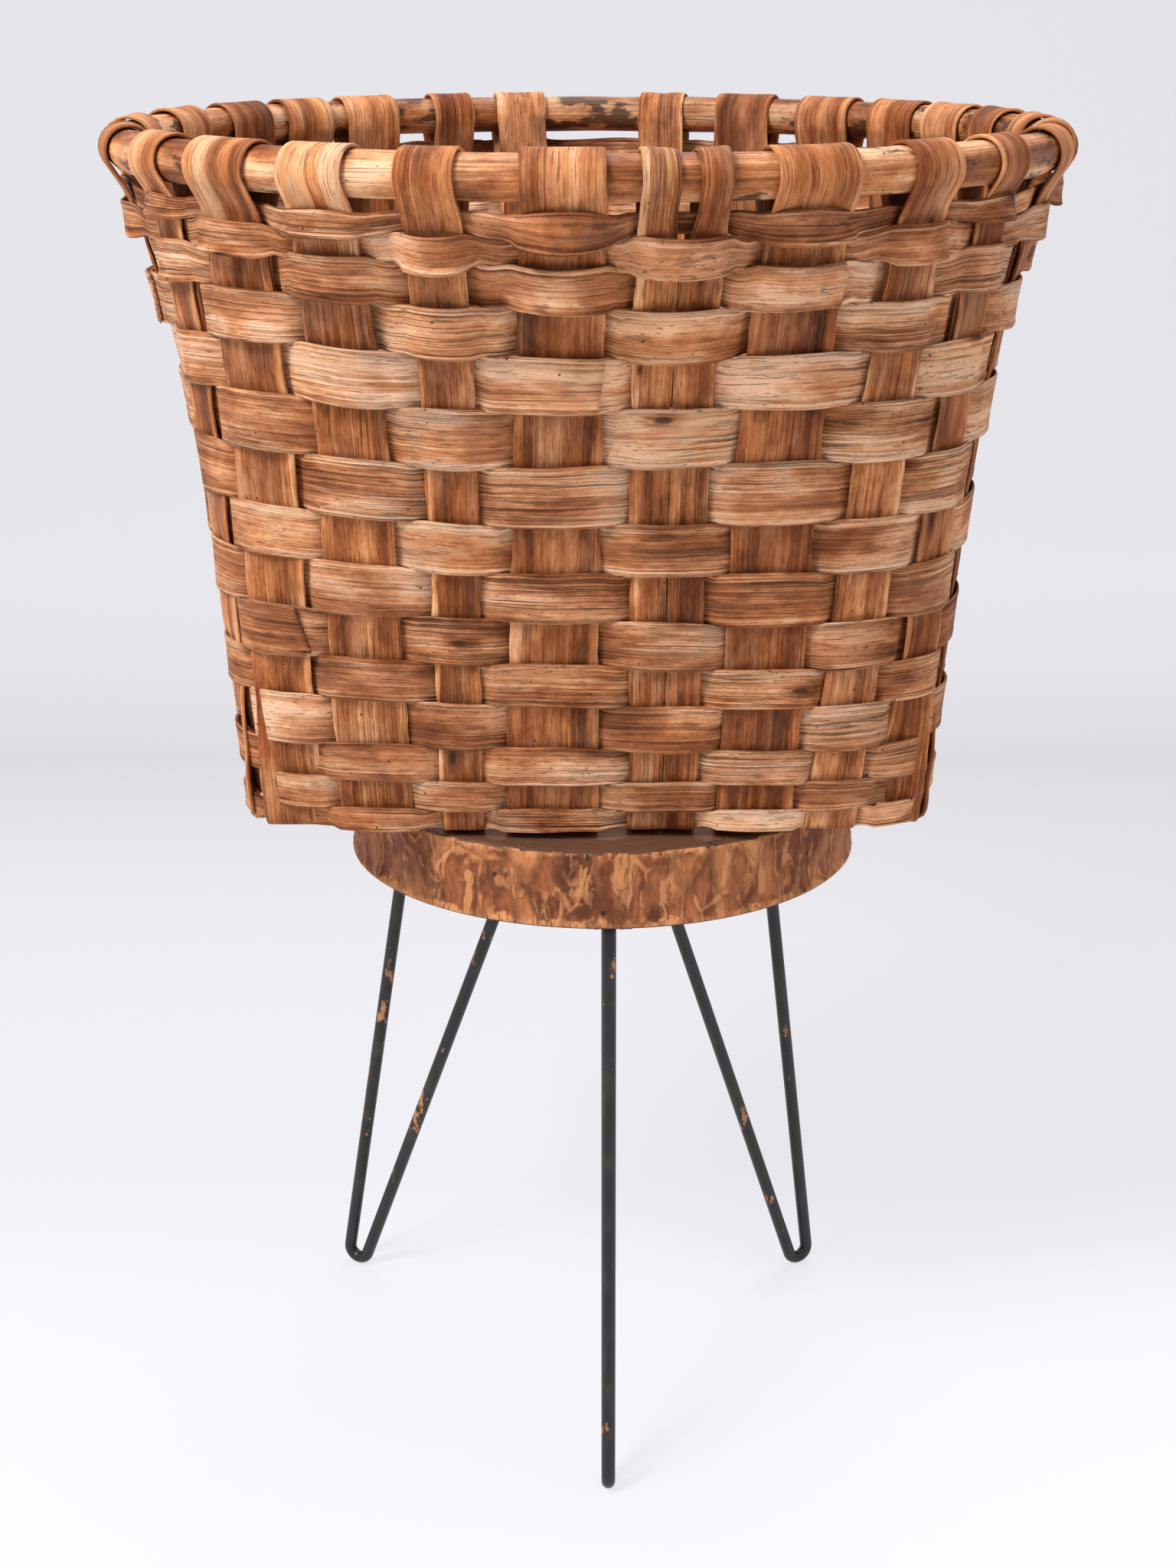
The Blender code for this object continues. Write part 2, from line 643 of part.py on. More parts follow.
def plate_screw_places(leg):
    """Screw centres on a leg's plate, two beyond each rod."""
    foot, outward, outer_at, inner_at = leg_frame(leg)
    sideways = outward.cross(UP)
    half_width = PLATE_WIDTH / 2 - PLATE_SCREW_INSET
    places = []
    for at, way in ((outer_at, 1), (inner_at, -1)):
        end = at + way * (PLATE_OVERHANG - PLATE_SCREW_INSET)
        for side in (-1, 1):
            places.append(foot + outward * end + sideways * side * half_width)
    return places


def make_plate(leg, steel):
    """The flat bar that joins a hairpin's two tops, with its screw holes."""
    foot, outward, outer_at, inner_at = leg_frame(leg)
    sideways = outward.cross(UP)
    half_width = sideways * PLATE_WIDTH / 2
    start = foot + outward * (inner_at - PLATE_OVERHANG)
    finish = foot + outward * (outer_at + PLATE_OVERHANG)
    corners = (start - half_width, start + half_width, finish + half_width, finish - half_width)
    bm = bmesh.new()
    tube(bm, [[corner + UP * z for corner in corners] for z in (PLATE_BOTTOM, PLATE_TOP)])
    plate = add_object(f"leg_plate_{leg}", bm, steel)
    holes = bmesh.new()
    for place in plate_screw_places(leg):
        turned(holes, place, UP, ((PLATE_BOTTOM - CUT_OVERSHOOT, SCREW_RADIUS + SCREW_CLEARANCE),
                                  (PLATE_TOP + CUT_OVERSHOOT, SCREW_RADIUS + SCREW_CLEARANCE)),
               SCREW_SIDES)
    cut_with(plate, add_cutter(f"cutter_plate_{leg}", holes))


def add_screw(bm, seat, way, length):
    """A round-headed screw; seat is the centre of the face its head sits on."""
    profile = (
        (SCREW_HEAD_HEIGHT, SCREW_HEAD_RADIUS * HEAD_TOP_SHARE),
        (SCREW_HEAD_HEIGHT * HEAD_MID_HEIGHT, SCREW_HEAD_RADIUS * HEAD_MID_SHARE),
        (FIT_GAP, SCREW_HEAD_RADIUS),
        (FIT_GAP, SCREW_RADIUS),
        (-length * (1.0 - SCREW_TIP_SHARE), SCREW_RADIUS),
        (-length, SCREW_TIP_RADIUS),
    )
    turned(bm, seat, way, profile, SCREW_SIDES)


def base_screw_places():
    return [Vector((LONG_SPLINTS[index][0], y * BASE_HALF_Y, 0.0)) for index, y in BASE_SCREWS]


def make_fasteners(steel):
    """Leg screws from below, and base screws with washers from inside the basket."""
    for leg in LEGS:
        for number, place in enumerate(plate_screw_places(leg)):
            bm = bmesh.new()
            add_screw(bm, place + UP * PLATE_BOTTOM, -UP, LEG_SCREW_LENGTH)
            add_object(f"leg_screw_{leg}_{number + 1}", bm, steel, smooth_angle=SMOOTH_SCREW)
    for number, place in enumerate(base_screw_places()):
        bm = bmesh.new()
        add_screw(bm, place + UP * WASHER_TOP, UP, BASE_SCREW_LENGTH)
        add_object(f"base_screw_{number + 1}", bm, steel, smooth_angle=SMOOTH_SCREW)
        bm = bmesh.new()
        add_washer(bm, place)
        add_object(f"base_washer_{number + 1}", bm, steel, smooth_angle=SMOOTH_SCREW)


def add_washer(bm, place):
    """A flat ring on top of a long splint, round a base screw."""
    hole = SCREW_RADIUS + SCREW_CLEARANCE
    sides = SCREW_SIDES * 2
    loops = []
    for z, radius in ((WASHER_BOTTOM, hole), (WASHER_BOTTOM, WASHER_RADIUS),
                      (WASHER_TOP, WASHER_RADIUS), (WASHER_TOP, hole)):
        loop = []
        for i in range(sides):
            angle = 2 * math.pi * i / sides
            reach = Vector((math.cos(angle), math.sin(angle), 0.0)) * radius
            loop.append(bm.verts.new(place + reach + UP * z))
        loops.append(loop)
    for a, b in zip(loops, loops[1:] + loops[:1]):
        for i in range(sides):
            j = (i + 1) % sides
            bm.faces.new((a[i], a[j], b[j], b[i]))


def drill_slab(slab):
    """Pilot holes for the leg screws and the base screws."""
    radius = SCREW_RADIUS + SCREW_CLEARANCE
    holes = bmesh.new()
    leg_depth = LEG_SCREW_LENGTH - PLATE_THICKNESS + PILOT_EXTRA
    for leg in LEGS:
        for place in plate_screw_places(leg):
            turned(holes, place, UP, ((SLAB_UNDERSIDE - CUT_OVERSHOOT, radius),
                                      (SLAB_UNDERSIDE + leg_depth, radius)), SCREW_SIDES)
    bottom = WASHER_TOP - BASE_SCREW_LENGTH - PILOT_EXTRA
    for place in base_screw_places():
        turned(holes, place, UP, ((bottom, radius), (SLAB_TOP + CUT_OVERSHOOT, radius)),
               SCREW_SIDES)
    cut_with(slab, add_cutter("cutter_slab", holes))


def drill_splints(splints):
    """Holes through the long splints that the base screws hold down."""
    radius = SCREW_RADIUS + SCREW_CLEARANCE
    for number in sorted({index for index, _ in BASE_SCREWS}):
        holes = bmesh.new()
        for index, y in BASE_SCREWS:
            if index == number:
                place = Vector((LONG_SPLINTS[index][0], y * BASE_HALF_Y, BASE_Z))
                turned(holes, place, UP, ((-SPLINT_THICKNESS, radius),
                                          (SPLINT_THICKNESS, radius)), SCREW_SIDES)
        cut_with(splints[number], add_cutter(f"cutter_splint_{number + 1}", holes))


def main():
    clear_scene()
    splint_wood = make_material("splint_wood", (0.45, 0.21, 0.085), 0.70)
    weaver_wood = make_material("weaver_wood", (0.52, 0.27, 0.12), 0.68)
    hoop_wood = make_material("hoop_wood", (0.50, 0.26, 0.11), 0.62)
    slab_wood = make_material("slab_wood", (0.30, 0.11, 0.04), 0.72)
    black_steel = make_material("black_steel", (0.012, 0.012, 0.014), 0.45, 0.9)
    screw_steel = make_material("screw_steel", (0.35, 0.34, 0.32), 0.40, 1.0)
    pairs, ring = make_splint_ends()
    splints = make_splints(pairs, splint_wood)
    drill_splints(splints)
    make_weavers(ring, weaver_wood)
    make_hoop(hoop_wood)
    drill_slab(make_slab(slab_wood))
    for leg in LEGS:
        make_leg(leg, black_steel)
        make_plate(leg, black_steel)
    make_fasteners(screw_steel)


main()
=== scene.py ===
# Woven splint basket on a wood slab with three hairpin legs.
# Metres, +Z up, front towards -Y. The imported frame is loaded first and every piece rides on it.
import math
import random

import bmesh
import bpy
import numpy as np
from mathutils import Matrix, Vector, noise


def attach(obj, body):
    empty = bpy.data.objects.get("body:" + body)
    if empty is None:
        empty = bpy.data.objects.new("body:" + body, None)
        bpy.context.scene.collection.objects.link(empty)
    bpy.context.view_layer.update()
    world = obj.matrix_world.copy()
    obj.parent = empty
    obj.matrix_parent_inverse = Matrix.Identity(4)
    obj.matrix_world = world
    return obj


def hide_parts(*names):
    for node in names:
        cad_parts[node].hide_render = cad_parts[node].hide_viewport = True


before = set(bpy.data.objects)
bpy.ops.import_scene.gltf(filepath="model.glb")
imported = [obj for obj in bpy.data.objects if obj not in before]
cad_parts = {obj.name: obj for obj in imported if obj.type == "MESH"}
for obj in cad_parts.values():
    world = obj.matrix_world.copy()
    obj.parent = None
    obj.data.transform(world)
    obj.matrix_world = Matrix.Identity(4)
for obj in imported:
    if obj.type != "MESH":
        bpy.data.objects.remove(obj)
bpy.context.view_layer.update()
print("frame loaded")

up = np.array([0.0, 0.0, 1.0])
fullPhase = 6.28                 # how far a seeded wave may be shifted


# the wall that stakes and weavers share
wall = {
    "bottom": 0.4680, "height": 0.4040,
    "baseHalfX": 0.2300, "baseHalfY": 0.1490, "topRadius": 0.3020,
    "baseSquareness": 5.7, "topSquareness": 2.0,
    "sideLean": 0.476, "frontLean": 0.600, "flarePower": 4.5,
    # height of each woven row, bottom row first
    "rows": (0.0130, 0.0190, 0.0240, 0.0315, 0.0283, 0.0317, 0.0335, 0.0330,
             0.0380, 0.0360, 0.0325, 0.0295, 0.0245, 0.0165, 0.0130),
    # the stake that each row's ends lap over, counted round from the front left one
    "lapAt": (7, 20, 11, 16, 19, 0, 15, 22, 13, 18, 3, 24, 5, 14, 21),
    "hoopRadius": 0.3000, "hoopStick": 0.0134, "hoopHeight": 0.8940,
    "stakeThickness": 0.0024, "weaverThickness": 0.0020, "gap": 0.0005, "baseGap": 0.0006,
    "sideGap": 0.0012,           # a strip turns this far past the edge of the one it crosses
    "baseHeight": 0.4645,        # middle of the long stakes where they cross the base
    "foldRadius": 0.0035,
    "twistEnd": 0.30,            # share of the height where a stake has turned square to the wall
}
wallTop = wall["bottom"] + wall["height"]
rowLevels = [wall["bottom"] + sum(wall["rows"][:i]) for i in range(len(wall["rows"]) + 1)]
rowCount = len(wall["rows"])

# x and width on the base, then azimuth and width at the front rim, and at the back rim
longStakes = (
    (-0.1920, 0.0400, -42.8, 0.0520, -134.3, 0.0440),
    (-0.1370, 0.0480, -29.4, 0.0440, -145.6, 0.0460),
    (-0.0810, 0.0270, -16.5, 0.0350, -159.0, 0.0340),
    (-0.0230, 0.0600, -2.5, 0.0480, -169.7, 0.0400),
    (0.0480, 0.0440, 9.9, 0.0500, 168.8, 0.0370),
    (0.1080, 0.0500, 23.9, 0.0520, 156.0, 0.0460),
    (0.1580, 0.0340, 39.2, 0.0380, 142.4, 0.0470),
    (0.2020, 0.0330, 52.4, 0.0340, 129.6, 0.0460),
)
# y and width on the base, then azimuth and width at the left rim, and at the right rim
crossStakes = (
    (-0.1050, 0.0380, -56.9, 0.0380, 69.4, 0.0400),
    (-0.0520, 0.0380, -74.4, 0.0400, 81.0, 0.0340),
    (0.0000, 0.0380, -91.0, 0.0400, 94.0, 0.0380),
    (0.0520, 0.0380, -108.0, 0.0440, 107.5, 0.0400),
    (0.1050, 0.0380, -122.5, 0.0460, 118.7, 0.0440),
)


def wallShare(z):
    return np.clip((np.asarray(z, float) - wall["bottom"]) / wall["height"], 0.0, 1.0)


def wallPoint(azimuth, z):
    # point on the wall's middle surface, azimuth from the front towards +X
    t = wallShare(z)
    side = wall["sideLean"] * t + (1 - wall["sideLean"]) * t ** wall["flarePower"]
    front = wall["frontLean"] * t + (1 - wall["frontLean"]) * t ** wall["flarePower"]
    halfX = wall["baseHalfX"] + (wall["topRadius"] - wall["baseHalfX"]) * side
    halfY = wall["baseHalfY"] + (wall["topRadius"] - wall["baseHalfY"]) * front
    power = wall["baseSquareness"] + (wall["topSquareness"] - wall["baseSquareness"]) * t
    across = np.abs(np.sin(azimuth) / halfX) ** power
    along = np.abs(np.cos(azimuth) / halfY) ** power
    radius = (across + along) ** (-1.0 / power)
    z = np.broadcast_to(np.asarray(z, float), radius.shape)
    return np.stack([radius * np.sin(azimuth), -radius * np.cos(azimuth), z], -1)


def unit(v):
    return v / np.maximum(np.linalg.norm(v, axis=-1, keepdims=True), 1e-12)


turnStep, riseStep = 0.01, 0.004     # between the points that a slope is taken from


def wallRun(azimuth, z):
    return wallPoint(azimuth + turnStep, z) - wallPoint(azimuth - turnStep, z)


def wallSpeed(azimuth, z):
    # metres along the wall for each radian round it
    return np.linalg.norm(wallRun(azimuth, z), axis=-1) / (2 * turnStep)


def wallTangent(azimuth, z):
    return unit(wallRun(azimuth, z))


def wallNormal(azimuth, z):
    rise = wallPoint(azimuth, np.asarray(z) + riseStep) - wallPoint(azimuth, np.asarray(z) - riseStep)
    return unit(np.cross(wallTangent(azimuth, z), rise))


def smoothStep(x):
    x = np.clip(x, 0.0, 1.0)
    return x * x * (3 - 2 * x)


def wobble(x, seed, size):
    # smooth seeded waviness along a strip, about -1 to 1; size is its wavelength in metres
    rng = random.Random(seed)
    total = np.zeros_like(np.asarray(x, float))
    for share, stretch in ((0.55, 1.0), (0.3, 0.47), (0.2, 0.21)):
        total += share * np.sin(2 * math.pi * np.asarray(x) / (size * stretch) + rng.uniform(0, fullPhase))
    return total


def squareReach(place, halfAlong, halfAcross):
    # how far out the base's rounded square reaches, at a place along it
    power = wall["baseSquareness"]
    return halfAcross * (1 - abs(place / halfAlong) ** power) ** (1 / power)


def stakeEnd(x, y, tangent, baseWidth, rimDegrees, rimWidth):
    azimuth = math.atan2(x, -y)
    turn = math.radians(rimDegrees) - azimuth
    turn = math.atan2(math.sin(turn), math.cos(turn))
    return {"azimuth": azimuth, "turn": turn, "tangent": np.array(tangent, float),
            "baseWidth": baseWidth, "rimWidth": rimWidth, "index": 0}


def makeEnds():
    # the two ends of each stake, and all the ends in order round the ring
    pairs = []
    for x, width, front, frontWidth, back, backWidth in longStakes:
        reach = squareReach(x, wall["baseHalfX"], wall["baseHalfY"])
        pairs.append((stakeEnd(x, -reach, (1, 0, 0), width, front, frontWidth),
                      stakeEnd(x, reach, (-1, 0, 0), width, back, backWidth)))
    for y, width, left, leftWidth, right, rightWidth in crossStakes:
        reach = squareReach(y, wall["baseHalfY"], wall["baseHalfX"])
        pairs.append((stakeEnd(-reach, y, (0, -1, 0), width, left, leftWidth),
                      stakeEnd(reach, y, (0, 1, 0), width, right, rightWidth)))
    first = pairs[0][0]["azimuth"] + pairs[0][0]["turn"]
    ring = sorted((end for pair in pairs for end in pair),
                  key=lambda end: (end["azimuth"] + end["turn"] - first + 0.001) % (2 * math.pi))
    for index, end in enumerate(ring):
        end["index"] = index
        end["unwrapped"] = first + (end["azimuth"] + end["turn"] - first + 0.001) % (2 * math.pi)
        end["unwrapped"] -= end["turn"] + 0.001
    return pairs, ring


def endAzimuth(end, z):
    return end["azimuth"] + end["turn"] * wallShare(z)


def endWidth(end, z):
    return end["baseWidth"] + (end["rimWidth"] - end["baseWidth"]) * wallShare(z)


def endTangent(end, z):
    t = wallShare(z)
    square = smoothStep(t / wall["twistEnd"])[..., None]
    along = wallTangent(endAzimuth(end, z), z)
    return unit(end["tangent"] * (1 - square) + along * square)


def weaverInside(end, row):
    return (end["index"] + row) % 2 == 0


def tuckRow(end):
    return rowCount - 3 if weaverInside(end, rowCount - 1) else rowCount - 4


# rows climb a little at the front left corner, and none is quite level
rowDrift = {
    "corner": math.radians(-48), "cornerWidth": math.radians(22), "cornerLift": 0.0060,
    "waver": 0.0012, "waves": ((1.0, 2, 0, 9), (0.6, 5, 4, -7)),    # share, waves round, start, turn with height
    "edge": 0.0011, "edgeWaves": ((0.5, 4), (0.35, 11), (0.25, 23)),
    "fadeIn": 0.12, "fadeOut": 0.15,                                # shares of the height, bottom and top
}


def rowLift(azimuth, z):
    t = wallShare(z)
    off = (np.asarray(azimuth) - rowDrift["corner"] + math.pi) % (2 * math.pi) - math.pi
    lift = rowDrift["cornerLift"] * np.exp(-(off / rowDrift["cornerWidth"]) ** 2)
    waves = sum(share * np.sin(count * azimuth + start + turn * t)
                for share, count, start, turn in rowDrift["waves"])
    fade = smoothStep(t / rowDrift["fadeIn"]) * smoothStep((1 - t) / rowDrift["fadeOut"])
    return (lift + rowDrift["waver"] * waves) * fade


def rowEdge(level, azimuth):
    # the line between two rows, which both follow so that they stay close
    rng = random.Random(level + 70)
    line = np.zeros_like(azimuth)
    for share, waves in rowDrift["edgeWaves"]:
        line += share * np.sin(waves * azimuth + rng.uniform(0, fullPhase))
    return rowLevels[level] + rowDrift["edge"] * line


def stakeWave(end, azimuth, z):
    # a stake gives way a little: in where a weaver passes outside, out where it passes inside
    row = np.interp(z - rowLift(azimuth, z), rowLevels, range(rowCount + 1))
    way = 1 if end["index"] % 2 == 0 else -1
    return stakeLooks["giveWay"] * way * np.sin(math.pi * row)


stripLooks = {
    "edge": 0.4, "nextToEdge": 0.9,      # how thick a strip is at its very edge and next to it, as shares
    "board": (30, 9, 9),                 # metres of wood that each strip's grain is taken from
}


def stripFaces(count, columns, first):
    # faces of one closed strip: its outer grid of points, its inner one, then the four edges
    ids = first + np.arange(count * columns).reshape(count, columns)
    low = ids + count * columns
    a, b, c, d = ids[:-1, :-1], ids[1:, :-1], ids[1:, 1:], ids[:-1, 1:]
    faces = [np.stack([a, d, c, b], -1).reshape(-1, 4)]
    a, b, c, d = low[:-1, :-1], low[1:, :-1], low[1:, 1:], low[:-1, 1:]
    faces.append(np.stack([a, b, c, d], -1).reshape(-1, 4))
    for edge, flip in ((0, False), (-1, True)):
        quad = [ids[:-1, edge], ids[1:, edge], low[1:, edge], low[:-1, edge]]
        faces.append(np.stack(quad[::-1] if flip else quad, -1))
    for end, flip in ((0, True), (-1, False)):
        quad = [ids[end, :-1], ids[end, 1:], low[end, 1:], low[end, :-1]]
        faces.append(np.stack(quad[::-1] if flip else quad, -1))
    return np.concatenate(faces)


def stripMesh(name, middle, thickness, along, across, seed, tint, split=None):
    # middle is a grid of points on the strip's middle surface, rows along it and columns across it;
    # a split strip is two tongues side by side, cut along one column
    parts = [(slice(None), None)]
    if split is not None:
        parts = [(slice(0, split["column"] + 1), split["left"]), (slice(split["column"], None), split["right"])]
    # grain follows the strip: along, across and through it, each strip from its own piece of wood
    rng = random.Random(seed)
    start = np.array([rng.uniform(0, size) for size in stripLooks["board"]])
    points, faces, grain, tints, edges = [], [], [], [], []
    toEdge = np.abs(across) / np.abs(across).max(axis=1, keepdims=True)
    for part, shift in parts:
        grid = middle[:, part].copy()
        count, columns, _ = grid.shape
        if shift is not None:
            share = np.linspace(0, 1, columns) if part.start == 0 else np.linspace(1, 0, columns)
            sideways = unit(middle[:, -1] - middle[:, 0])
            grid += sideways[:, None, :] * (shift[:, None] * share[None, :])[..., None]
        normal = unit(np.cross(np.gradient(grid, axis=1), np.gradient(grid, axis=0)))
        profile = np.ones(columns)
        profile[[0, -1]] = stripLooks["edge"]
        profile[[1, -2]] = stripLooks["nextToEdge"]
        half = (thickness * profile[None, :] / 2)[..., None] * normal
        faces.append(stripFaces(count, columns, sum(len(each) for each in points)))
        points += [(grid + half).reshape(-1, 3), (grid - half).reshape(-1, 3)]
        through = (thickness / 2) * np.ones((count, columns))
        for side in (1, -1):
            grain.append(np.stack([along[:, part], across[:, part], through * side], -1).reshape(-1, 3) + start)
            tints.append(tint[:, part].reshape(-1, 3))
            edges.append(toEdge[:, part].ravel())
    mesh = bpy.data.meshes.new(name)
    mesh.from_pydata(np.concatenate(points).tolist(), [], np.concatenate(faces).tolist())
    saveAttribute(mesh, "grain", np.concatenate(grain))
    saveAttribute(mesh, "tint", np.concatenate(tints))
    saved = mesh.attributes.new("edge", "FLOAT", "POINT")
    saved.data.foreach_set("value", np.concatenate(edges).astype(np.float32))
    mesh.polygons.foreach_set("use_smooth", [True] * len(mesh.polygons))
    mesh.update()
    return newPiece(name, mesh)


def newPiece(name, data):
    piece = bpy.data.objects.new(name, data)
    bpy.context.scene.collection.objects.link(piece)
    return piece


def pieceFrom(bm, name, **attributes):
    mesh = bpy.data.meshes.new(name)
    bm.to_mesh(mesh)
    bm.free()
    for key, values in attributes.items():
        saveAttribute(mesh, key, values)
    return newPiece(name, mesh)


def saveAttribute(mesh, name, values):
    made = mesh.attributes.new(name, "FLOAT_VECTOR", "POINT")
    made.data.foreach_set("vector", np.asarray(values, np.float32).ravel())


def joinLoops(bm, loops, flip=False):
    # quads between each loop of points and the next
    for a, b in zip(loops, loops[1:]):
        for j in range(len(a)):
            k = (j + 1) % len(a)
            quad = (a[j], b[j], b[k], a[k]) if flip else (a[j], a[k], b[k], b[j])
            bm.faces.new(quad).smooth = True


def pathReach(path):
    return np.concatenate([[0], np.cumsum(np.linalg.norm(np.diff(path, axis=0), axis=1))])


def columnPlaces(columns, edge):
    # -1 to 1 across a strip, with one extra column close to each edge
    inner = np.linspace(-1 + edge, 1 - edge, columns - 2)
    return np.concatenate([[-1.0], inner, [1.0]])


def softened(points, passes):
    points = points.copy()
    for _ in range(passes):
        points[1:-1] = points[:-2] * 0.25 + points[1:-1] * 0.5 + points[2:] * 0.25
    return points


def resampled(step, path, *others):
    # even steps along a path, and whatever goes with it
    reach = pathReach(path)
    places = np.linspace(0, reach[-1], int(reach[-1] / step) + 1)
    made = [places]
    for values in (path, *others):
        if values.ndim == 1:
            made.append(np.interp(places, reach, values))
        else:
            made.append(np.stack([np.interp(places, reach, v) for v in values.T], -1))
    return made


stakeLooks = {
    "giveWay": 0.0007,
    "step": 0.0040, "columns": 9, "softening": 2, "turnSoftening": 4,
    "edge": 0.05,                # share of the half width that the rounded edge takes
    "edgeWaver": 0.0009, "edgeWaverLength": 0.110, "baseWaver": 0.4,
    "camber": 0.0007, "camberShare": (0.7, 0.5), "camberLength": 0.23,    # how far the middle stands proud
    "hoopAir": 0.0010,           # air between the stick and a strap, and more at the top of the hoop
    "hoopSlack": 0.0010, "slackOut": 0.5, "slackUp": 0.3,
    "hoopPoints": 15, "linkPoints": 10,
    "sagMore": 0.0003,           # a flat strap stands in from a round hoop
    "tailNarrow": 0.0015, "tailBelow": 0.0080,
    "baseStep": 0.0030, "baseStart": 0.0020, "baseFinish": 0.0010, "baseFlat": 0.0100,
    "foldPoints": 2,
    "cleft": 0.0030, "raggedness": 7.3,    # ragged cut ends
    "thickWaver": 0.10, "thickLength": 0.09,
}

# one stake has split along its length: which end, where the tongues part, how far each stands off
splitStake = {"end": 4, "column": 4, "hair": 0.0007, "from": 0.842, "to": 0.878, "left": 0.07, "right": 0.14,
              "stop": 0.45, "fade": 0.05, "behind": 0.2, "hairWaver": 0.5, "hairLength": 0.12}

# one strap is of two tones on the hoop: which end, how much paler its left part is and darker its right
twoTone = {"end": 0, "left": 0.26, "right": -0.10, "seam": -0.25, "blend": 0.25}

# how pale and grey a stake is, and how much darker: on the base, on the wall, over the hoop and on its tail, where
# the darkening is painted shade
stakeTone = {
    "halfWay": 0.45, "blend": 0.10,                 # where one end's tones give way to the other's
    "hoopFrom": 0.825, "hoopRise": 0.070, "tailFade": 0.4,
    "base": 0.44, "waver": 0.06, "waverLength": 0.31,
    "grey": 0.10, "greyWaver": 0.25, "greyLength": 0.5,
    "tailShade": 0.9, "tailFrom": 2.3, "tailBlend": 0.5, "baseDarker": 0.3, "baseTo": 0.6,
}
# how pale each strap is on the hoop and each stake on the wall, by its place round the ring
strapPale = (0.56, 0.80, 0.52, 0.54, 0.46, 0.62, 0.54, 0.50, 0.56, 0.50, 0.54, 0.46, 0.54, 0.48, 0.50, 0.42,
             0.64, 0.54, 0.42, 0.58, 0.50, 0.32, 0.52, 0.58, 0.52, 0.58)
stakePale = (0.52, 0.48, 0.49, 0.40, 0.44, 0.34, 0.46, 0.44, 0.43, 0.45, 0.41, 0.47, 0.41, 0.39, 0.45, 0.41,
             0.43, 0.47, 0.39, 0.45, 0.41, 0.37, 0.45, 0.43, 0.49, 0.51)


def touchAngle(out, rise, radius, side):
    # where a straight line from a point touches a circle round the origin
    return math.atan2(rise, out) + side * math.acos(radius / math.hypot(out, rise))


stakePart = {"base": 0.0, "wall": 1.0, "hoop": 2.0, "link": 2.6, "tail": 3.0}


def climb(end):
    # one stake end from the bottom of the wall, up it, over the hoop and down to its tucked tail:
    # its centre, the direction of its width, its width and which part it is
    looks = stakeLooks
    z = np.arange(wall["bottom"], wallTop, looks["step"])
    azimuth = endAzimuth(end, z)
    centre = wallPoint(azimuth, z) + wallNormal(azimuth, z) * stakeWave(end, azimuth, z)[:, None]
    tangent = endTangent(end, z)
    width = endWidth(end, z)

    rim = end["azimuth"] + end["turn"]
    outward = np.array([math.sin(rim), -math.cos(rim), 0.0])
    sideways = np.array([math.cos(rim), math.sin(rim), 0.0])
    radius = wall["hoopStick"] + looks["hoopAir"] + wall["stakeThickness"] / 2
    sag = end["rimWidth"] ** 2 / (8 * wall["hoopRadius"]) + looks["sagMore"]
    row = tuckRow(end)
    tailZ = np.arange(rowLevels[row + 1], rowLevels[row] - looks["tailBelow"], -looks["step"])
    tailAzimuth = endAzimuth(end, tailZ)
    layer = wall["stakeThickness"] + wall["gap"]
    tail = wallPoint(tailAzimuth, tailZ) - wallNormal(tailAzimuth, tailZ) * layer
    topOut = wall["topRadius"] - wall["hoopRadius"]
    first = touchAngle(topOut, wallTop - wall["hoopHeight"], radius, 1)
    tailOut = tail[0] @ outward - wall["hoopRadius"] + sag
    last = touchAngle(tailOut, tail[0][2] - wall["hoopHeight"], radius, -1)
    if last < first:
        last += 2 * math.pi
    angles = np.linspace(first, last, looks["hoopPoints"])
    slack = looks["hoopSlack"] * np.sin((angles - first) / (last - first) * math.pi) ** 2
    out = wall["hoopRadius"] + (radius + slack * looks["slackOut"]) * np.cos(angles)
    out -= sag * np.maximum(0, -np.cos(angles))
    rise = wall["hoopHeight"] + (radius + slack * looks["slackUp"]) * np.sin(angles)
    over = outward * out[:, None] + up * rise[:, None]
    narrow = np.linspace(0, 2 * looks["tailNarrow"], looks["hoopPoints"])

    # straight from the hoop down to the tail
    drop = np.linspace(0, 1, looks["linkPoints"] + 2)[1:-1, None]
    link = over[-1] * (1 - drop) + tail[0] * drop
    centre = np.concatenate([centre, over, link, tail])
    tangent = np.concatenate([tangent, np.tile(sideways, (len(over) + len(link), 1)), endTangent(end, tailZ)])
    tailWidth = endWidth(end, tailZ) - 2 * looks["tailNarrow"]
    width = np.concatenate([width, end["rimWidth"] - narrow,
                            np.full(len(link), end["rimWidth"] - narrow[-1]), tailWidth])
    counts = {"wall": len(z), "hoop": len(over), "link": len(link), "tail": len(tail)}
    part = np.concatenate([np.full(count, stakePart[key]) for key, count in counts.items()])
    return centre, tangent, width, part


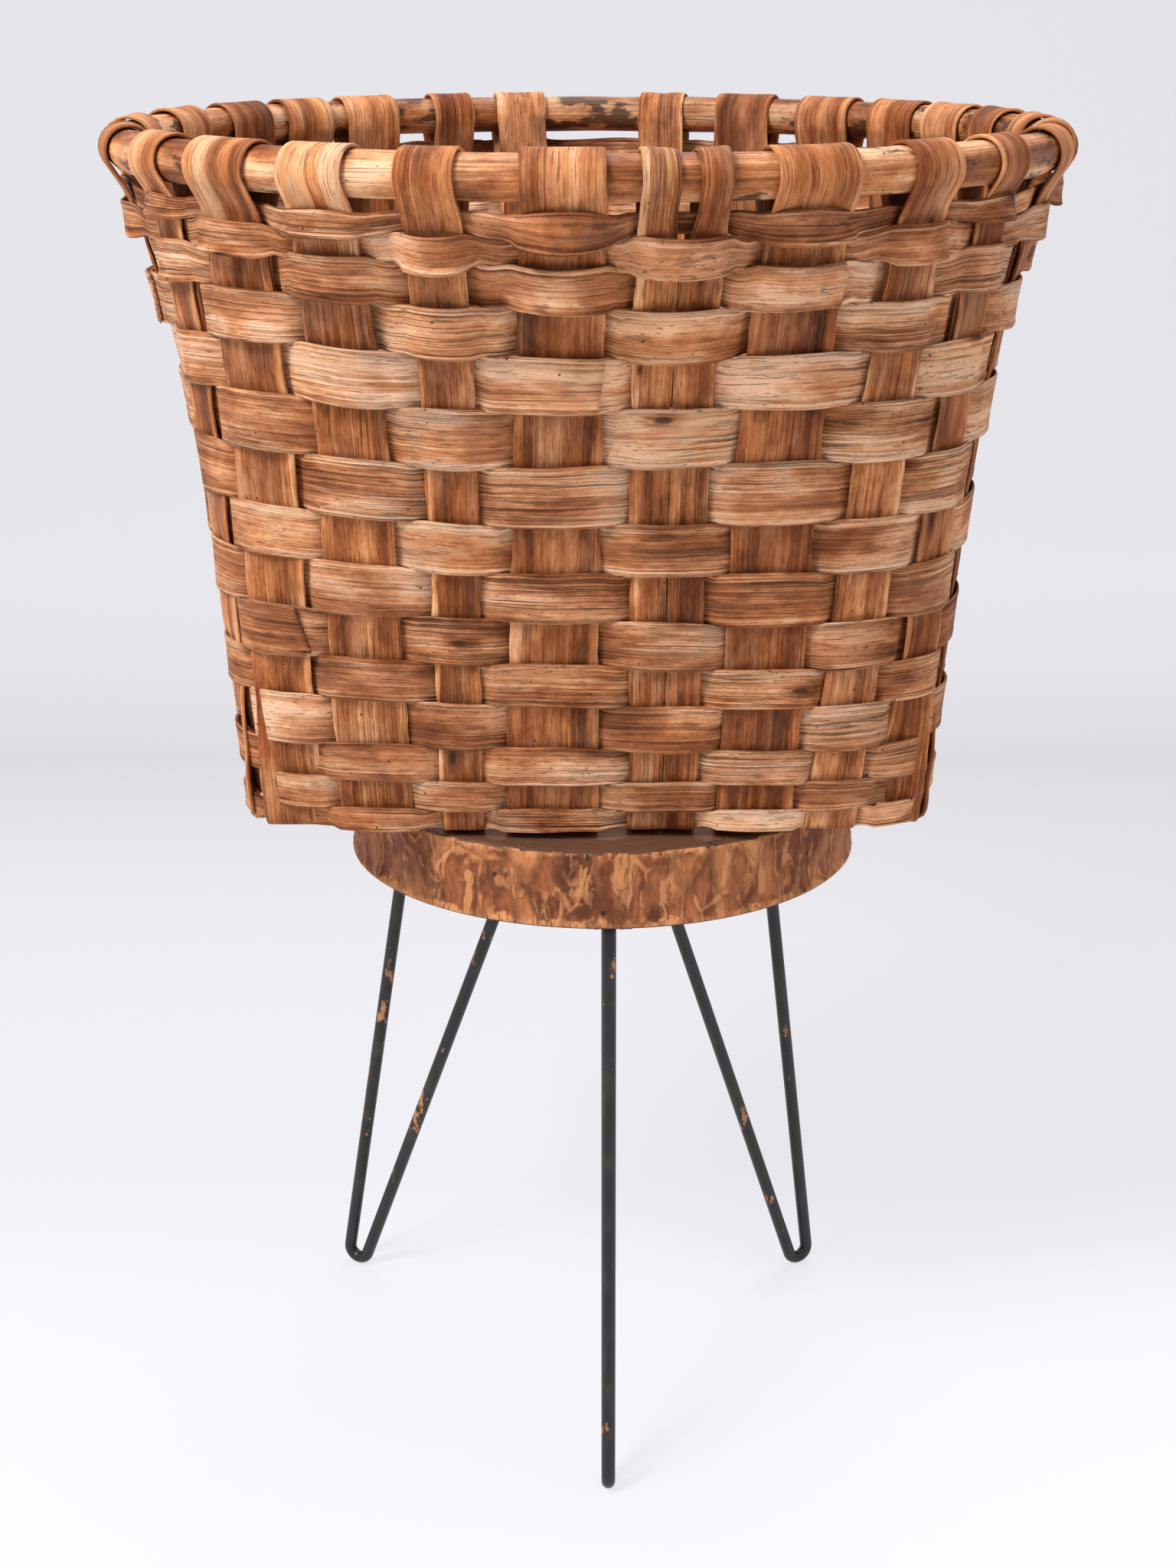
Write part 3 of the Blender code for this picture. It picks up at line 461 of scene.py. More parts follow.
def acrossBase(start, finish, lifts):
    # the stretch under the basket, between the two bottom corners
    begin = wallPoint(start["azimuth"], wall["bottom"])
    end = wallPoint(finish["azimuth"], wall["bottom"])
    length = np.linalg.norm(end - begin)
    along = (end - begin) / length
    fold, looks = wall["foldRadius"], stakeLooks
    places = np.arange(fold + looks["baseStart"], length - fold - looks["baseFinish"], looks["baseStep"])
    flat = begin + along * places[:, None]
    flat[:, 2] = wall["baseHeight"]
    if lifts:
        at = [looks["baseFlat"], *((spot - begin) @ along for spot, _ in lifts), length - looks["baseFlat"]]
        flat[:, 2] += np.interp(places, at, [0.0, *(lift for _, lift in lifts), 0.0])
    near, far = [], []
    for angle in np.linspace(math.pi / 2, 0, looks["foldPoints"] + 2)[1:-1]:
        inward = along * fold * (1 - math.sin(angle))
        near.append(begin + inward)
        far.append(end - inward)
        near[-1][2] = far[-1][2] = wall["bottom"] - fold * math.cos(angle)
    centre = np.concatenate([near, flat, far[::-1]])
    tangent = np.tile(start["tangent"], (len(centre), 1))
    width = np.full(len(centre), start["baseWidth"])
    return centre, tangent, width, np.full(len(centre), stakePart["base"])


def makeStake(name, start, finish, lifts, seed):
    # one splint from tail to tail: down one wall from the hoop, across the base and up the other wall
    down = [values[::-1] for values in climb(start)]
    flat = acrossBase(start, finish, lifts)
    rise = list(climb(finish))
    rise[1] = -rise[1]
    centre, tangent, width, part = (np.concatenate(v) for v in zip(down, flat, rise))
    looks = stakeLooks
    centre = softened(centre, looks["softening"])
    reach, centre, tangent, width, part = resampled(looks["step"], centre, tangent, width, part)
    tangent = unit(softened(tangent, looks["turnSoftening"]))
    facing = unit(np.cross(tangent, np.gradient(centre, axis=0)))
    v = columnPlaces(looks["columns"], looks["edge"])
    onWall = smoothStep(part)
    waver = looks["edgeWaver"] * (looks["baseWaver"] + (1 - looks["baseWaver"]) * onWall)
    left = width / 2 + waver * wobble(reach, seed, looks["edgeWaverLength"])
    right = width / 2 + waver * wobble(reach, seed + 500, looks["edgeWaverLength"] * 0.8)
    side = np.where(v[None, :] < 0, left[:, None] * v[None, :], right[:, None] * v[None, :])
    least, spread = looks["camberShare"]
    camber = looks["camber"] * onWall * (least + spread * wobble(reach, seed + 7, looks["camberLength"]))
    bow = camber[:, None] * (0.5 - v[None, :] ** 2)
    middle = centre[:, None, :] + tangent[:, None, :] * side[..., None] + facing[:, None, :] * bow[..., None]
    ragged = np.array([noise.noise(Vector((seed, looks["raggedness"] * c, 0))) for c in range(len(v))])
    for end, inner in ((0, 1), (-1, -2)):
        middle[end] += unit(centre[end] - centre[inner]) * ragged[:, None] * looks["cleft"]
    thick = 1 + looks["thickWaver"] * wobble(reach, seed + 9, looks["thickLength"])
    thick = wall["stakeThickness"] * thick[:, None]
    tint = stakeTint(seed, (start, finish), reach, part, centre[:, 2], len(v))
    along = np.repeat(reach[:, None], len(v), 1)
    split = None
    if start["index"] == splitStake["end"]:
        # two tongues that part below the hoop and stay apart down to their tails
        cut = splitStake
        front = smoothStep((cut["stop"] - reach / reach[-1]) / cut["fade"])
        opened = smoothStep((centre[:, 2] - cut["from"]) / (cut["to"] - cut["from"])) * front
        hair = cut["hair"] * (cut["behind"] + (1 - cut["behind"]) * front)
        hair = hair * (1 + cut["hairWaver"] * wobble(reach, seed + 2, cut["hairLength"]))
        split = {"column": cut["column"], "left": -hair / 2 - opened * width * cut["left"],
                 "right": hair / 2 + opened * width * cut["right"]}
        if (tangent[0] @ (middle[0, -1] - middle[0, 0])) < 0:
            split["left"], split["right"] = -split["left"], -split["right"]
    return stripMesh(name, middle, thick, along, side, seed, tint, split)


def stakeTint(seed, ends, reach, part, height, columns):
    # how pale and how grey the wood is along a stake, and how much darker: painted shade on the tails tucked
    # inside the basket, and darker on the base
    looks = stakeTone
    near, far = (end["index"] for end in ends)
    late = smoothStep((reach / reach[-1] - looks["halfWay"]) / looks["blend"])
    rim = strapPale[near] * (1 - late) + strapPale[far] * late
    body = stakePale[near] * (1 - late) + stakePale[far] * late
    overHoop = smoothStep((height - looks["hoopFrom"]) / looks["hoopRise"])
    overHoop = overHoop * smoothStep((stakePart["tail"] - part) / looks["tailFade"])
    pale = body + (rim - body) * overHoop + looks["waver"] * wobble(reach, seed + 3, looks["waverLength"])
    pale = np.where(part < stakePart["wall"] / 2, looks["base"], pale)
    grey = np.clip(looks["grey"] + looks["greyWaver"] * wobble(reach, seed + 4, looks["greyLength"]), 0, 1)
    # painted shade: the tails tucked down inside the basket are darkened
    grimeAndShade = looks["tailShade"] * smoothStep((part - looks["tailFrom"]) / looks["tailBlend"])
    # the base is made a little darker
    grimeAndShade = grimeAndShade + looks["baseDarker"] * smoothStep((looks["baseTo"] - part) / looks["baseTo"])
    tint = np.repeat(np.stack([pale, grey, grimeAndShade], -1)[:, None, :], columns, 1)
    if near == twoTone["end"]:
        blend = smoothStep((np.linspace(-1, 1, columns) - twoTone["seam"]) / twoTone["blend"])
        tone = twoTone["left"] + (twoTone["right"] - twoTone["left"]) * blend
        tint[..., 0] += tone * (overHoop * (1 - late))[:, None]
    return tint


weaverLooks = {
    "step": 0.0045, "samples": 4000,
    "lapInset": 0.0010,              # the ends lie this far inside the stake that they lap over
    # places across half a strip, and which of them stand up or sink as ribs beside its edges
    "across": (0.0, 0.25, 0.48, 0.64, 0.70, 0.76, 0.82, 0.88, 0.94, 1.0),
    "ribs": (0, 0, 0.2, -0.5, 1, -0.6, 1, -0.6, 1, 0),
    "ribHeight": 0.00026, "ribLength": 0.24, "ribStrength": (0.45, 0.80),
    # for each row, bottom row first: how far it stands off a stake's middle, outside, how much wider it is
    # there, how far it is lifted where it passes outside and inside, and how far its lower edge stands off
    "bulge": (0.0026, 0.0016, 0.0016, 0.0016, 0.0016, 0.0018, 0.0018, 0.0020,
              0.0022, 0.0028, 0.0036, 0.0044, 0.0054, 0.0062, 0.0056),
    "swell": (0.0020, 0.0010, 0.0008, 0.0008, 0.0006, 0.0006, 0.0006, 0.0006,
              0.0006, 0.0006, 0.0005, 0.0004, 0.0010, 0.0018, 0.0002),
    "lift": (-0.0014, 0, 0, 0, 0, 0, 0, 0, 0, 0, 0, 0, 0.0026, 0.0026, 0.0014),
    "inLift": (0, 0, 0, 0, 0, 0, 0, 0, 0, 0, 0, 0, 0, 0, 0.0036),
    "tilt": (0, 0, 0, 0, 0, 0, 0.0002, 0.0003, 0.0004, 0.0006, 0.0008, 0.0012, 0.0018, 0.0030, 0.0026),
    "inBulge": 0.0012,               # how far it stands off inside the basket
    "tuckSpace": 0.0029,             # more where it passes over a tucked tail
    "bulgeSpread": 0.35,
    "sideBulge": 0.45, "sideAt": 0.75, "sideFade": 0.20,    # less at the basket's two sides
    "rowGap": -0.0004,
    "lean": 0.28,                    # how far it also rises for each metre that it stands out
    "tiltOut": 0.6,                  # share of the tilt that the whole strip stands off
    "swellFade": 0.36,               # share of the way between stakes where it narrows again
    "late": 2.6,                     # it stays out until it is near the next stake
    "cup": 0.0006, "topCup": 0.0018, "topRows": 3,          # edges that curl out, more on the top rows
    "cupShare": (0.6, 0.6), "cupLength": 0.33, "cupMiddle": 0.3,
    "outFrom": 0.0005, "outFade": 0.0030,                   # where it counts as outside
    "roll": 0.0007, "rollLength": 0.27,
    "thickWaver": 0.10, "thickLength": 0.11,
    "cleft": 0.0008, "slant": 0.0016,    # how ragged and how far out of square the cut ends are
    "raggedness": 5.1,
}
# how pale each row is, bottom row first, and how that and its grey vary along it
weaverPale = (0.72, 0.59, 0.62, 0.59, 0.58, 0.57, 0.62, 0.66, 0.68, 0.74, 0.92, 0.70, 0.65, 0.53, 0.48)
weaverTone = {"pale": 0.16, "paleLength": 0.42, "grey": 0.12, "greyWaver": 0.25, "greyLength": 0.6, "grimeAndShade": 0.15}


def weaverOffset(ring, row, azimuth, z, seed):
    # how far a weaver is from the wall's middle surface: over and under the stakes in turn
    looks = weaverLooks
    first = firstStake(ring, row)
    rng = random.Random(seed)
    base = (wall["stakeThickness"] + wall["weaverThickness"]) / 2 + wall["gap"]
    centres, halves, offsets, bulges = [], [], [], []
    for count in range(len(ring) + 1):
        end = ring[(first + count) % len(ring)]
        turns = (first + count) // len(ring)
        own = end["unwrapped"] + end["turn"] * wallShare(z) + 2 * math.pi * turns
        centres.append(own)
        halves.append((endWidth(end, z) / 2 + wall["sideGap"]) / wallSpeed(own, z))
        inside = weaverInside(end, row)
        reach = base + (looks["tuckSpace"] if inside and row == tuckRow(end) else 0)
        if count == len(ring):
            reach = base + wall["weaverThickness"] + wall["gap"]
        bulge = looks["inBulge"] if inside else looks["bulge"][row]
        bulge *= 1 + looks["bulgeSpread"] * rng.uniform(-1, 1)
        middle = end["azimuth"] + end["turn"] * wallShare(rowLevels[row])
        bulge *= 1 - looks["sideBulge"] * smoothStep((abs(math.sin(middle)) - looks["sideAt"]) / looks["sideFade"])
        offsets.append(-reach if inside else reach)
        bulges.append(-bulge if inside else bulge)
    # a lapped end lies flat on the first one
    bulges[-1] = bulges[0] = min(bulges[0], bulges[-1])
    made = np.zeros_like(azimuth)
    swell = np.ones_like(azimuth)
    raised = np.zeros_like(azimuth)
    lifts = [looks["lift" if offset > 0 else "inLift"][row] for offset in offsets]
    for i, (centre, half) in enumerate(zip(centres, halves)):
        u = (azimuth - centre) / half
        over = np.abs(u) <= 1
        made[over] = (offsets[i] + bulges[i] * (1 - u ** 2))[over]
        raised[over] = lifts[i]
        if i + 1 < len(centres):
            start = centre + half
            gap = centres[i + 1] - halves[i + 1] - start
            x = (azimuth - start) / gap
            crossing = (x > 0) & (x < 1)
            slope0 = -2 * bulges[i] / half * gap
            slope1 = 2 * bulges[i + 1] / halves[i + 1] * gap
            inner = np.clip(x, 0, 1)
            share = smoothStep(inner ** looks["late"] if offsets[i] > 0 else 1 - (1 - inner) ** looks["late"])
            curve = (offsets[i] * (1 - share) + slope0 * (x ** 3 - 2 * x ** 2 + x)
                     + offsets[i + 1] * share + slope1 * (x ** 3 - x ** 2))
            made[crossing] = curve[crossing]
            fade = smoothStep(np.minimum(x, 1 - x) / looks["swellFade"])
            swell[crossing] = (1 - fade)[crossing]
            raised[crossing] = (lifts[i] + (lifts[i + 1] - lifts[i]) * smoothStep(x))[crossing]
    return made, swell, raised


def firstStake(ring, row):
    # the stake that the row's ends lap over, outside it
    first = wall["lapAt"][row] % len(ring)
    if weaverInside(ring[first], row):
        first += 1
    return first % len(ring)


def makeWeaver(name, ring, row, seed):
    # one row, once round the basket from lap to lap
    looks = weaverLooks
    end = ring[firstStake(ring, row)]
    middleZ = (rowLevels[row] + rowLevels[row + 1]) / 2
    own = end["unwrapped"] + end["turn"] * wallShare(middleZ)
    speed = wallSpeed(own, middleZ)
    inset = (endWidth(end, middleZ) / 2 - looks["lapInset"]) / speed
    fine = np.linspace(own - inset, own + 2 * math.pi + inset, looks["samples"])
    line = wallPoint(fine, middleZ)
    reach = pathReach(line)
    places = np.linspace(0, reach[-1], int(reach[-1] / looks["step"]))
    azimuth = np.interp(places, reach, fine)

    half = np.array(looks["across"])
    v = np.concatenate([-half[:0:-1], half])
    low = rowEdge(row, azimuth) + looks["rowGap"] / 2
    high = rowEdge(row + 1, azimuth) - looks["rowGap"] / 2
    share = (v[None, :] + 1) / 2
    z = low[:, None] * (1 - share) + high[:, None] * share
    grid = np.repeat(azimuth[:, None], len(v), 1)
    ragged = np.array([noise.noise(Vector((seed, looks["raggedness"] * c, 2))) for c in range(len(v))])
    slant = looks["slant"] * v * (1 if row % 2 else -1)
    grid[0] -= (ragged * looks["cleft"] - slant) / speed
    grid[-1] += (ragged * looks["cleft"] - slant) / speed
    z = z + rowLift(grid, z)
    offset, swell, raised = weaverOffset(ring, row, grid, z, seed)
    z = z + swell * v[None, :] * looks["swell"][row] + raised
    z = z + looks["lean"] * offset
    outside = smoothStep((offset - looks["outFrom"]) / looks["outFade"])
    least, spread = looks["cupShare"]
    cup = looks["topCup" if row >= rowCount - looks["topRows"] else "cup"]
    cup = cup * (least + spread * wobble(places, seed + 5, looks["cupLength"]))
    offset = offset + cup[:, None] * (v[None, :] ** 2 - looks["cupMiddle"]) * outside
    # laid on by hand: the strip rolls a little as it goes
    tilt = looks["tilt"][row]
    roll = looks["roll"] * wobble(places, seed + 6, looks["rollLength"]) - tilt
    offset = offset + (roll[:, None] * v[None, :] + tilt * looks["tiltOut"]) * outside
    ribs = np.array(looks["ribs"])
    least, spread = looks["ribStrength"]
    for column, rib in enumerate(np.concatenate([ribs[:0:-1], ribs])):
        strength = np.clip(least + spread * wobble(places, seed + 40 + column, looks["ribLength"]), 0, 1)
        offset[:, column] += looks["ribHeight"] * rib * strength
    middle = wallPoint(grid, z) + wallNormal(grid, z) * offset[..., None]
    thick = 1 + looks["thickWaver"] * wobble(places, seed + 8, looks["thickLength"])
    thick = wall["weaverThickness"] * thick[:, None]
    across = v[None, :] * wall["rows"][row] / 2 * np.ones((len(places), 1))
    along = np.repeat(places[:, None], len(v), 1)
    tint = weaverTint(seed, row, places, len(v))
    return stripMesh(name, middle, thick, along, across, seed + 300, tint)


def weaverTint(seed, row, places, columns):
    looks = weaverTone
    pale = weaverPale[row] + looks["pale"] * wobble(places, seed + 3, looks["paleLength"])
    grey = np.clip(looks["grey"] + looks["greyWaver"] * wobble(places, seed + 4, looks["greyLength"]), 0, 1)
    # the lower rows are made darker
    grimeAndShade = np.full(len(places), looks["grimeAndShade"] * (1 - row / rowCount))
    return np.repeat(np.stack([pale, grey, grimeAndShade], -1)[:, None, :], columns, 1)


hoopLooks = {
    "segments": 220, "sides": 20, "seed": 21,
    "jointAzimuth": math.radians(-145.6), "jointGap": 0.004,    # the ends meet under this strap
    "inset": 0.0004,             # how much thinner than its solid, so that lumps stay inside it
    "lumps": 0.0006, "lumpTurns": 6, "lumpGrain": 0.6,
    "knots": 9, "knotHeight": 0.00054, "knotLength": 0.010, "knotWidth": 0.006, "knotReach": 0.05,
    "pale": 0.66, "backDarker": 0.14, "frontGrey": 0.10, "grimeAndShade": 0.02, "backGrime": 0.50,
}


def makeHoop():
    # one bent stick, a little lumpy, with a few knots
    looks = hoopLooks
    count, sides = looks["segments"], looks["sides"]
    rng = random.Random(looks["seed"])
    knots = [(rng.uniform(0, 2 * math.pi), rng.uniform(0, 2 * math.pi)) for _ in range(looks["knots"])]
    turn = np.linspace(looks["jointGap"], 2 * math.pi - looks["jointGap"], count)
    azimuth = looks["jointAzimuth"] + turn
    angle = np.arange(sides) / sides * 2 * math.pi
    radius = np.zeros((count, sides))
    for i in range(count):
        for j in range(sides):
            place = Vector((math.cos(azimuth[i]), math.sin(azimuth[i]), 0)) * looks["lumpTurns"]
            place += Vector((math.cos(angle[j]), math.sin(angle[j]), math.cos(angle[j] + 1))) * looks["lumpGrain"]
            radius[i, j] = wall["hoopStick"] - looks["inset"] + looks["lumps"] * noise.noise(place)
    for at, side in knots:
        off = np.minimum(np.abs(turn - at) * wall["hoopRadius"], looks["knotReach"]) / looks["knotLength"]
        roundOff = np.abs((angle - side + math.pi) % (2 * math.pi) - math.pi) * wall["hoopStick"]
        radius += looks["knotHeight"] * np.exp(-off[:, None] ** 2 - (roundOff[None, :] / looks["knotWidth"]) ** 2)
    outward = np.stack([np.sin(azimuth), -np.cos(azimuth), np.zeros(count)], -1)
    points = (outward[:, None, :] * (wall["hoopRadius"] + radius * np.cos(angle))[..., None]
              + up * (wall["hoopHeight"] + radius * np.sin(angle))[..., None])
    grain = np.stack([np.repeat((turn * wall["hoopRadius"])[:, None], sides, 1),
                      np.cos(angle) * radius, np.sin(angle) * radius], -1)
    front = 0.5 + 0.5 * np.cos(azimuth)
    tint = np.stack([looks["pale"] - looks["backDarker"] * (1 - front), looks["frontGrey"] * front,
                     looks["grimeAndShade"] + looks["backGrime"] * (1 - front)], -1)
    tint = np.repeat(tint[:, None, :], sides, 1)
    return ringTube("hoop_stick", points, grain, tint)


def ringTube(name, points, grain, tint):
    # an open tube with closed ends
    bm = bmesh.new()
    loops = [[bm.verts.new(p) for p in loop] for loop in points]
    joinLoops(bm, loops, flip=True)
    bm.faces.new(loops[0])
    bm.faces.new(list(reversed(loops[-1])))
    bmesh.ops.recalc_face_normals(bm, faces=bm.faces)
    return pieceFrom(bm, name, grain=grain.reshape(-1, 3), tint=tint.reshape(-1, 3))


slabLooks = {
    "underside": 0.4070, "thickness": 0.0530, "radius": 0.1795, "centreX": 0.0104,
    "around": 360, "sideRows": 30, "endRings": 26,
    "rimRows": 0.07,             # how much closer the rows of points lie at both rims
    "topRound": 0.0040, "bottomRound": 0.0012,
    "sawnEdge": 0.0070,          # the hollows run out this far above the sawn underside
    "gouge": 0.0026,             # depth of the hewn hollows round its side
    "gougeWidth": 0.030, "gougeHeight": 0.060, "gougeFrom": 3.0,
    "gougeBend": 0.35, "gougeBendSize": 0.7, "ridge": 0.35, "roundness": 0.7,
    "ripple": 0.0007, "rippleWidth": 0.007, "rippleHeight": 0.016,
    "gougeFade": 6,              # power that keeps the hollows to the side
    "dish": 0.0006, "dishWaves": 5, "dishStart": 90,    # its sawn faces aren't quite flat
    "faceTilt": 0.6,             # faces that point up or down more than this are sawn
}


def slabSideDepth(turn, height):
    # hollows left by a curved blade, run together, and a finer ripple
    looks = slabLooks
    across = looks["radius"] / looks["gougeWidth"]
    place = Vector((math.cos(turn) * across, math.sin(turn) * across,
                    height / looks["gougeHeight"] + looks["gougeFrom"]))
    lean = looks["gougeBend"] * noise.noise(place * looks["gougeBendSize"])
    near = noise.voronoi(place + Vector((lean, lean, 0)))[0]
    hollow = min(near[1] - near[0], looks["ridge"]) / looks["ridge"]
    reach = turn * looks["radius"]
    fine = noise.noise(Vector((reach / looks["rippleWidth"], height / looks["rippleHeight"], 1.0)))
    return looks["gouge"] * hollow ** looks["roundness"] + looks["ripple"] * (fine + 0.5)


def makeSlab():
    # a round of wood: loops of points from the middle of its underside, up its side, to the middle of its top
    looks = slabLooks
    bm = bmesh.new()
    profile = []                 # radius share, extra inset, height, and whether it is on the side
    for i in range(looks["endRings"]):
        profile.append((i / looks["endRings"], looks["bottomRound"], 0.0, False))
    for i in range(looks["sideRows"] + 1):
        share = i / looks["sideRows"]
        height = looks["thickness"] * (share - looks["rimRows"] * math.sin(2 * math.pi * share))
        rounding = looks["bottomRound" if share < 0.5 else "topRound"]
        edge = min(height, looks["thickness"] - height)
        inset = rounding * (1 - math.sqrt(max(0.0, 1 - (1 - min(edge / rounding, 1.0)) ** 2)))
        profile.append((1.0, inset, height, True))
    for i in reversed(range(looks["endRings"])):
        profile.append((i / looks["endRings"], looks["topRound"], looks["thickness"], False))
    grain, tint, loops = [], [], []
    for share, inset, height, onSide in profile[1:-1]:
        loop = []
        for j in range(looks["around"]):
            turn = 2 * math.pi * j / looks["around"]
            depth = slabSideDepth(turn, height) * share ** looks["gougeFade"]
            depth *= smoothStep(height / looks["sawnEdge"])
            radius = (looks["radius"] - inset - depth) * share
            x, y = radius * math.cos(turn), radius * math.sin(turn)
            waves = share * looks["dishWaves"]
            dish = Vector((math.cos(turn) * waves, math.sin(turn) * waves, height * looks["dishStart"]))
            dish = looks["dish"] * noise.noise(dish)
            z = looks["underside"] + height + (0 if onSide else min(dish, 0) if height else max(dish, 0))
            loop.append(bm.verts.new((looks["centreX"] + x, y, z)))
            grain.append((x, y, height))
            tint.append((depth / looks["gouge"], height / looks["thickness"], share))
        loops.append(loop)
    joinLoops(bm, loops)
    bm.faces.new(list(reversed(loops[0])))
    bm.faces.new(loops[-1])
    bmesh.ops.recalc_face_normals(bm, faces=bm.faces)
    bm.normal_update()
    for face in bm.faces:
        face.material_index = int(abs(face.normal.z) > looks["faceTilt"])
    return pieceFrom(bm, "slab_hewn", grain=grain, tint=tint)


legLooks = {
    "rod": 0.00475, "bend": 0.0085,
    "top": 0.4024,               # where the rods end under their plates
    "sides": 24, "bendSteps": 18, "straightSteps": 40,
    "wearReach": 0.05,           # how far up from its foot the stored wear tint reaches
    "bead": 0.0022, "beadSteps": 28, "beadSides": 10, "beadGap": 0.0004,    # weld beads under the plates
    "beadLumps": 0.22, "beadRipples": 9, "beadRipple": 0.10, "beadFlat": 0.55, "beadDrop": 0.2,
    # foot, outer rod top and inner rod top
    "places": {
        "front": ((0.0141, -0.2048), (0.0135, -0.1500), (0.0135, -0.0490)),
        "left": ((-0.1864, 0.1011), (-0.1330, 0.0715), (-0.0450, 0.0227)),
        "right": ((0.1707, 0.1011), (0.1320, 0.0779), (0.0420, 0.0253)),
    },
}


def legPath(leg):
    # the middle of a hairpin rod: down from its plate, round its foot and up again
    looks = legLooks
    foot, outer, inner = (np.array((*place, 0.0)) for place in looks["places"][leg])
    outward = unit(outer - inner)
    centre = looks["rod"] + looks["bend"]
    rise = looks["top"] - centre
    outerAt, innerAt = (outer - foot) @ outward, (inner - foot) @ outward
    right = touchAngle(outerAt, rise, looks["bend"], -1)
    left = touchAngle(innerAt, rise, looks["bend"], 1)
    while left > -math.pi / 2:
        left -= 2 * math.pi
    angles = np.linspace(left, right, looks["bendSteps"])
    bend = np.stack([np.cos(angles), np.sin(angles)], -1) * looks["bend"]
    down = np.linspace(0, 1, looks["straightSteps"])[:-1, None]
    first, last = np.array([innerAt, rise]), np.array([outerAt, rise])
    flat = np.concatenate([first * (1 - down) + bend[0] * down, bend,
                           (bend[-1] * down + last * (1 - down))[::-1]])
    return foot + outward * flat[:, :1] + up * (centre + flat[:, 1:]), outward


def makeLeg(leg):
    looks = legLooks
    path, outward = legPath(leg)
    sideways = np.cross(outward, up)
    ahead = unit(np.gradient(path, axis=0))
    across = unit(np.cross(ahead, sideways))
    angle = np.arange(looks["sides"]) / looks["sides"] * 2 * math.pi
    ring = (across[:, None, :] * np.cos(angle)[:, None] + sideways * np.sin(angle)[:, None]) * looks["rod"]
    points = path[:, None, :] + ring
    # the tops are cut level, under the plate
    for end in (0, -1):
        points[end] += ahead[end] / ahead[end][2] * (looks["top"] - points[end][:, 2:])
    reach = pathReach(path)
    section = (np.repeat((wave(angle) * looks["rod"])[None, :], len(path), 0) for wave in (np.cos, np.sin))
    grain = np.stack([np.repeat(reach[:, None], len(angle), 1), *section], -1)
    tint = np.zeros_like(grain)
    tint[..., 0] = np.exp(-((reach - reach[-1] / 2) / looks["wearReach"]) ** 2)[:, None]
    return ringTube(f"leg_rod_{leg}", points, grain, tint)


def makeBeads(leg):
    # a lumpy weld bead round the top of each rod
    looks = legLooks
    path, _ = legPath(leg)
    bm = bmesh.new()
    count, sides = looks["beadSteps"], looks["beadSides"]
    for number, end in enumerate((0, -1)):
        loops = []
        for i in range(count):
            turn = 2 * math.pi * i / count
            lump = noise.noise(Vector((math.cos(turn) * 2, math.sin(turn) * 2, number + len(leg))))
            lump = 1 + looks["beadLumps"] * lump + looks["beadRipple"] * math.sin(turn * looks["beadRipples"])
            size = looks["bead"] * lump
            loop = []
            for j in range(sides):
                angle = 2 * math.pi * j / sides
                out = looks["rod"] + looks["beadGap"] + size * math.cos(angle)
                place = path[end] + np.array([math.cos(turn), math.sin(turn), 0]) * out
                place[2] = looks["top"] - looks["bead"] * looks["beadDrop"]
                place[2] -= size * looks["beadFlat"] * (1 - math.sin(angle))
                loop.append(bm.verts.new(place))
            loops.append(loop)
        joinLoops(bm, loops + loops[:1])
    bmesh.ops.recalc_face_normals(bm, faces=bm.faces)
    return pieceFrom(bm, f"weld_beads_{leg}")


def newMaterial(name):
    material = bpy.data.materials.new(name)
    material.use_nodes = True
    tree = material.node_tree
    return material, tree, tree.nodes["Principled BSDF"]


def isSocket(value):
    return isinstance(value, bpy.types.NodeSocket)


def setInputs(node, links):
    # (input, source socket or value) pairs
    for where, source in links:
        if isSocket(source):
            node.id_data.links.new(source, node.inputs[where])
        else:
            node.inputs[where].default_value = source


def addNode(tree, kind, links=(), **settings):
    node = tree.nodes.new("ShaderNode" + kind)
    for key, value in settings.items():
        setattr(node, key, value)
    setInputs(node, links)
    return node


def treeOf(values):
    return next(value.id_data for value in values if isSocket(value))


def maths(operation, *values, clamp=False):
    return addNode(treeOf(values), "Math", enumerate(values), operation=operation, use_clamp=clamp).outputs[0]


def times(first, *others):
    for other in others:
        first = maths("MULTIPLY", first, other)
    return first


def largest(first, *others):
    for other in others:
        first = maths("MAXIMUM", first, other)
    return first


def minus(a, b):
    return maths("SUBTRACT", a, b)


def scaled(value, share, added):
    return maths("MULTIPLY_ADD", value, share, added)


def parts(vector):
    return addNode(vector.id_data, "SeparateXYZ", [(0, vector)]).outputs


def attribute(tree, name, output="Vector"):
    return addNode(tree, "Attribute", attribute_name=name).outputs[output]


def stretched(vector, scale, start=(0, 0, 0)):
    links = [("Vector", vector), ("Scale", scale), ("Location", start)]
    return addNode(vector.id_data, "Mapping", links).outputs[0]


def cells(vector, scale, **settings):
    links = [("Vector", stretched(vector, scale)), ("Scale", 1.0)]
    return addNode(vector.id_data, "TexVoronoi", links, **settings)


def someCells(cell, level, part=0):
    # only the cells whose random number is past a level
    return between(parts(cell.outputs["Color"])[part], level, level + 0.02)


def between(value, low, high, kind="SMOOTHSTEP"):
    # 0 below low, 1 above high (or the other way round when low is the larger)
    links = [("Value", value), ("From Min", low), ("From Max", high)]
    return addNode(value.id_data, "MapRange", links, interpolation_type=kind, clamp=True).outputs[0]


def ramp(value, stops):
    node = addNode(value.id_data, "ValToRGB", [(0, value)])
    elements = node.color_ramp.elements
    elements.remove(elements[1])
    elements[0].position = stops[0][0]
    elements[0].color = (*stops[0][1], 1)
    for position, color in stops[1:]:
        elements.new(position).color = (*color, 1)
    return node.outputs[0]


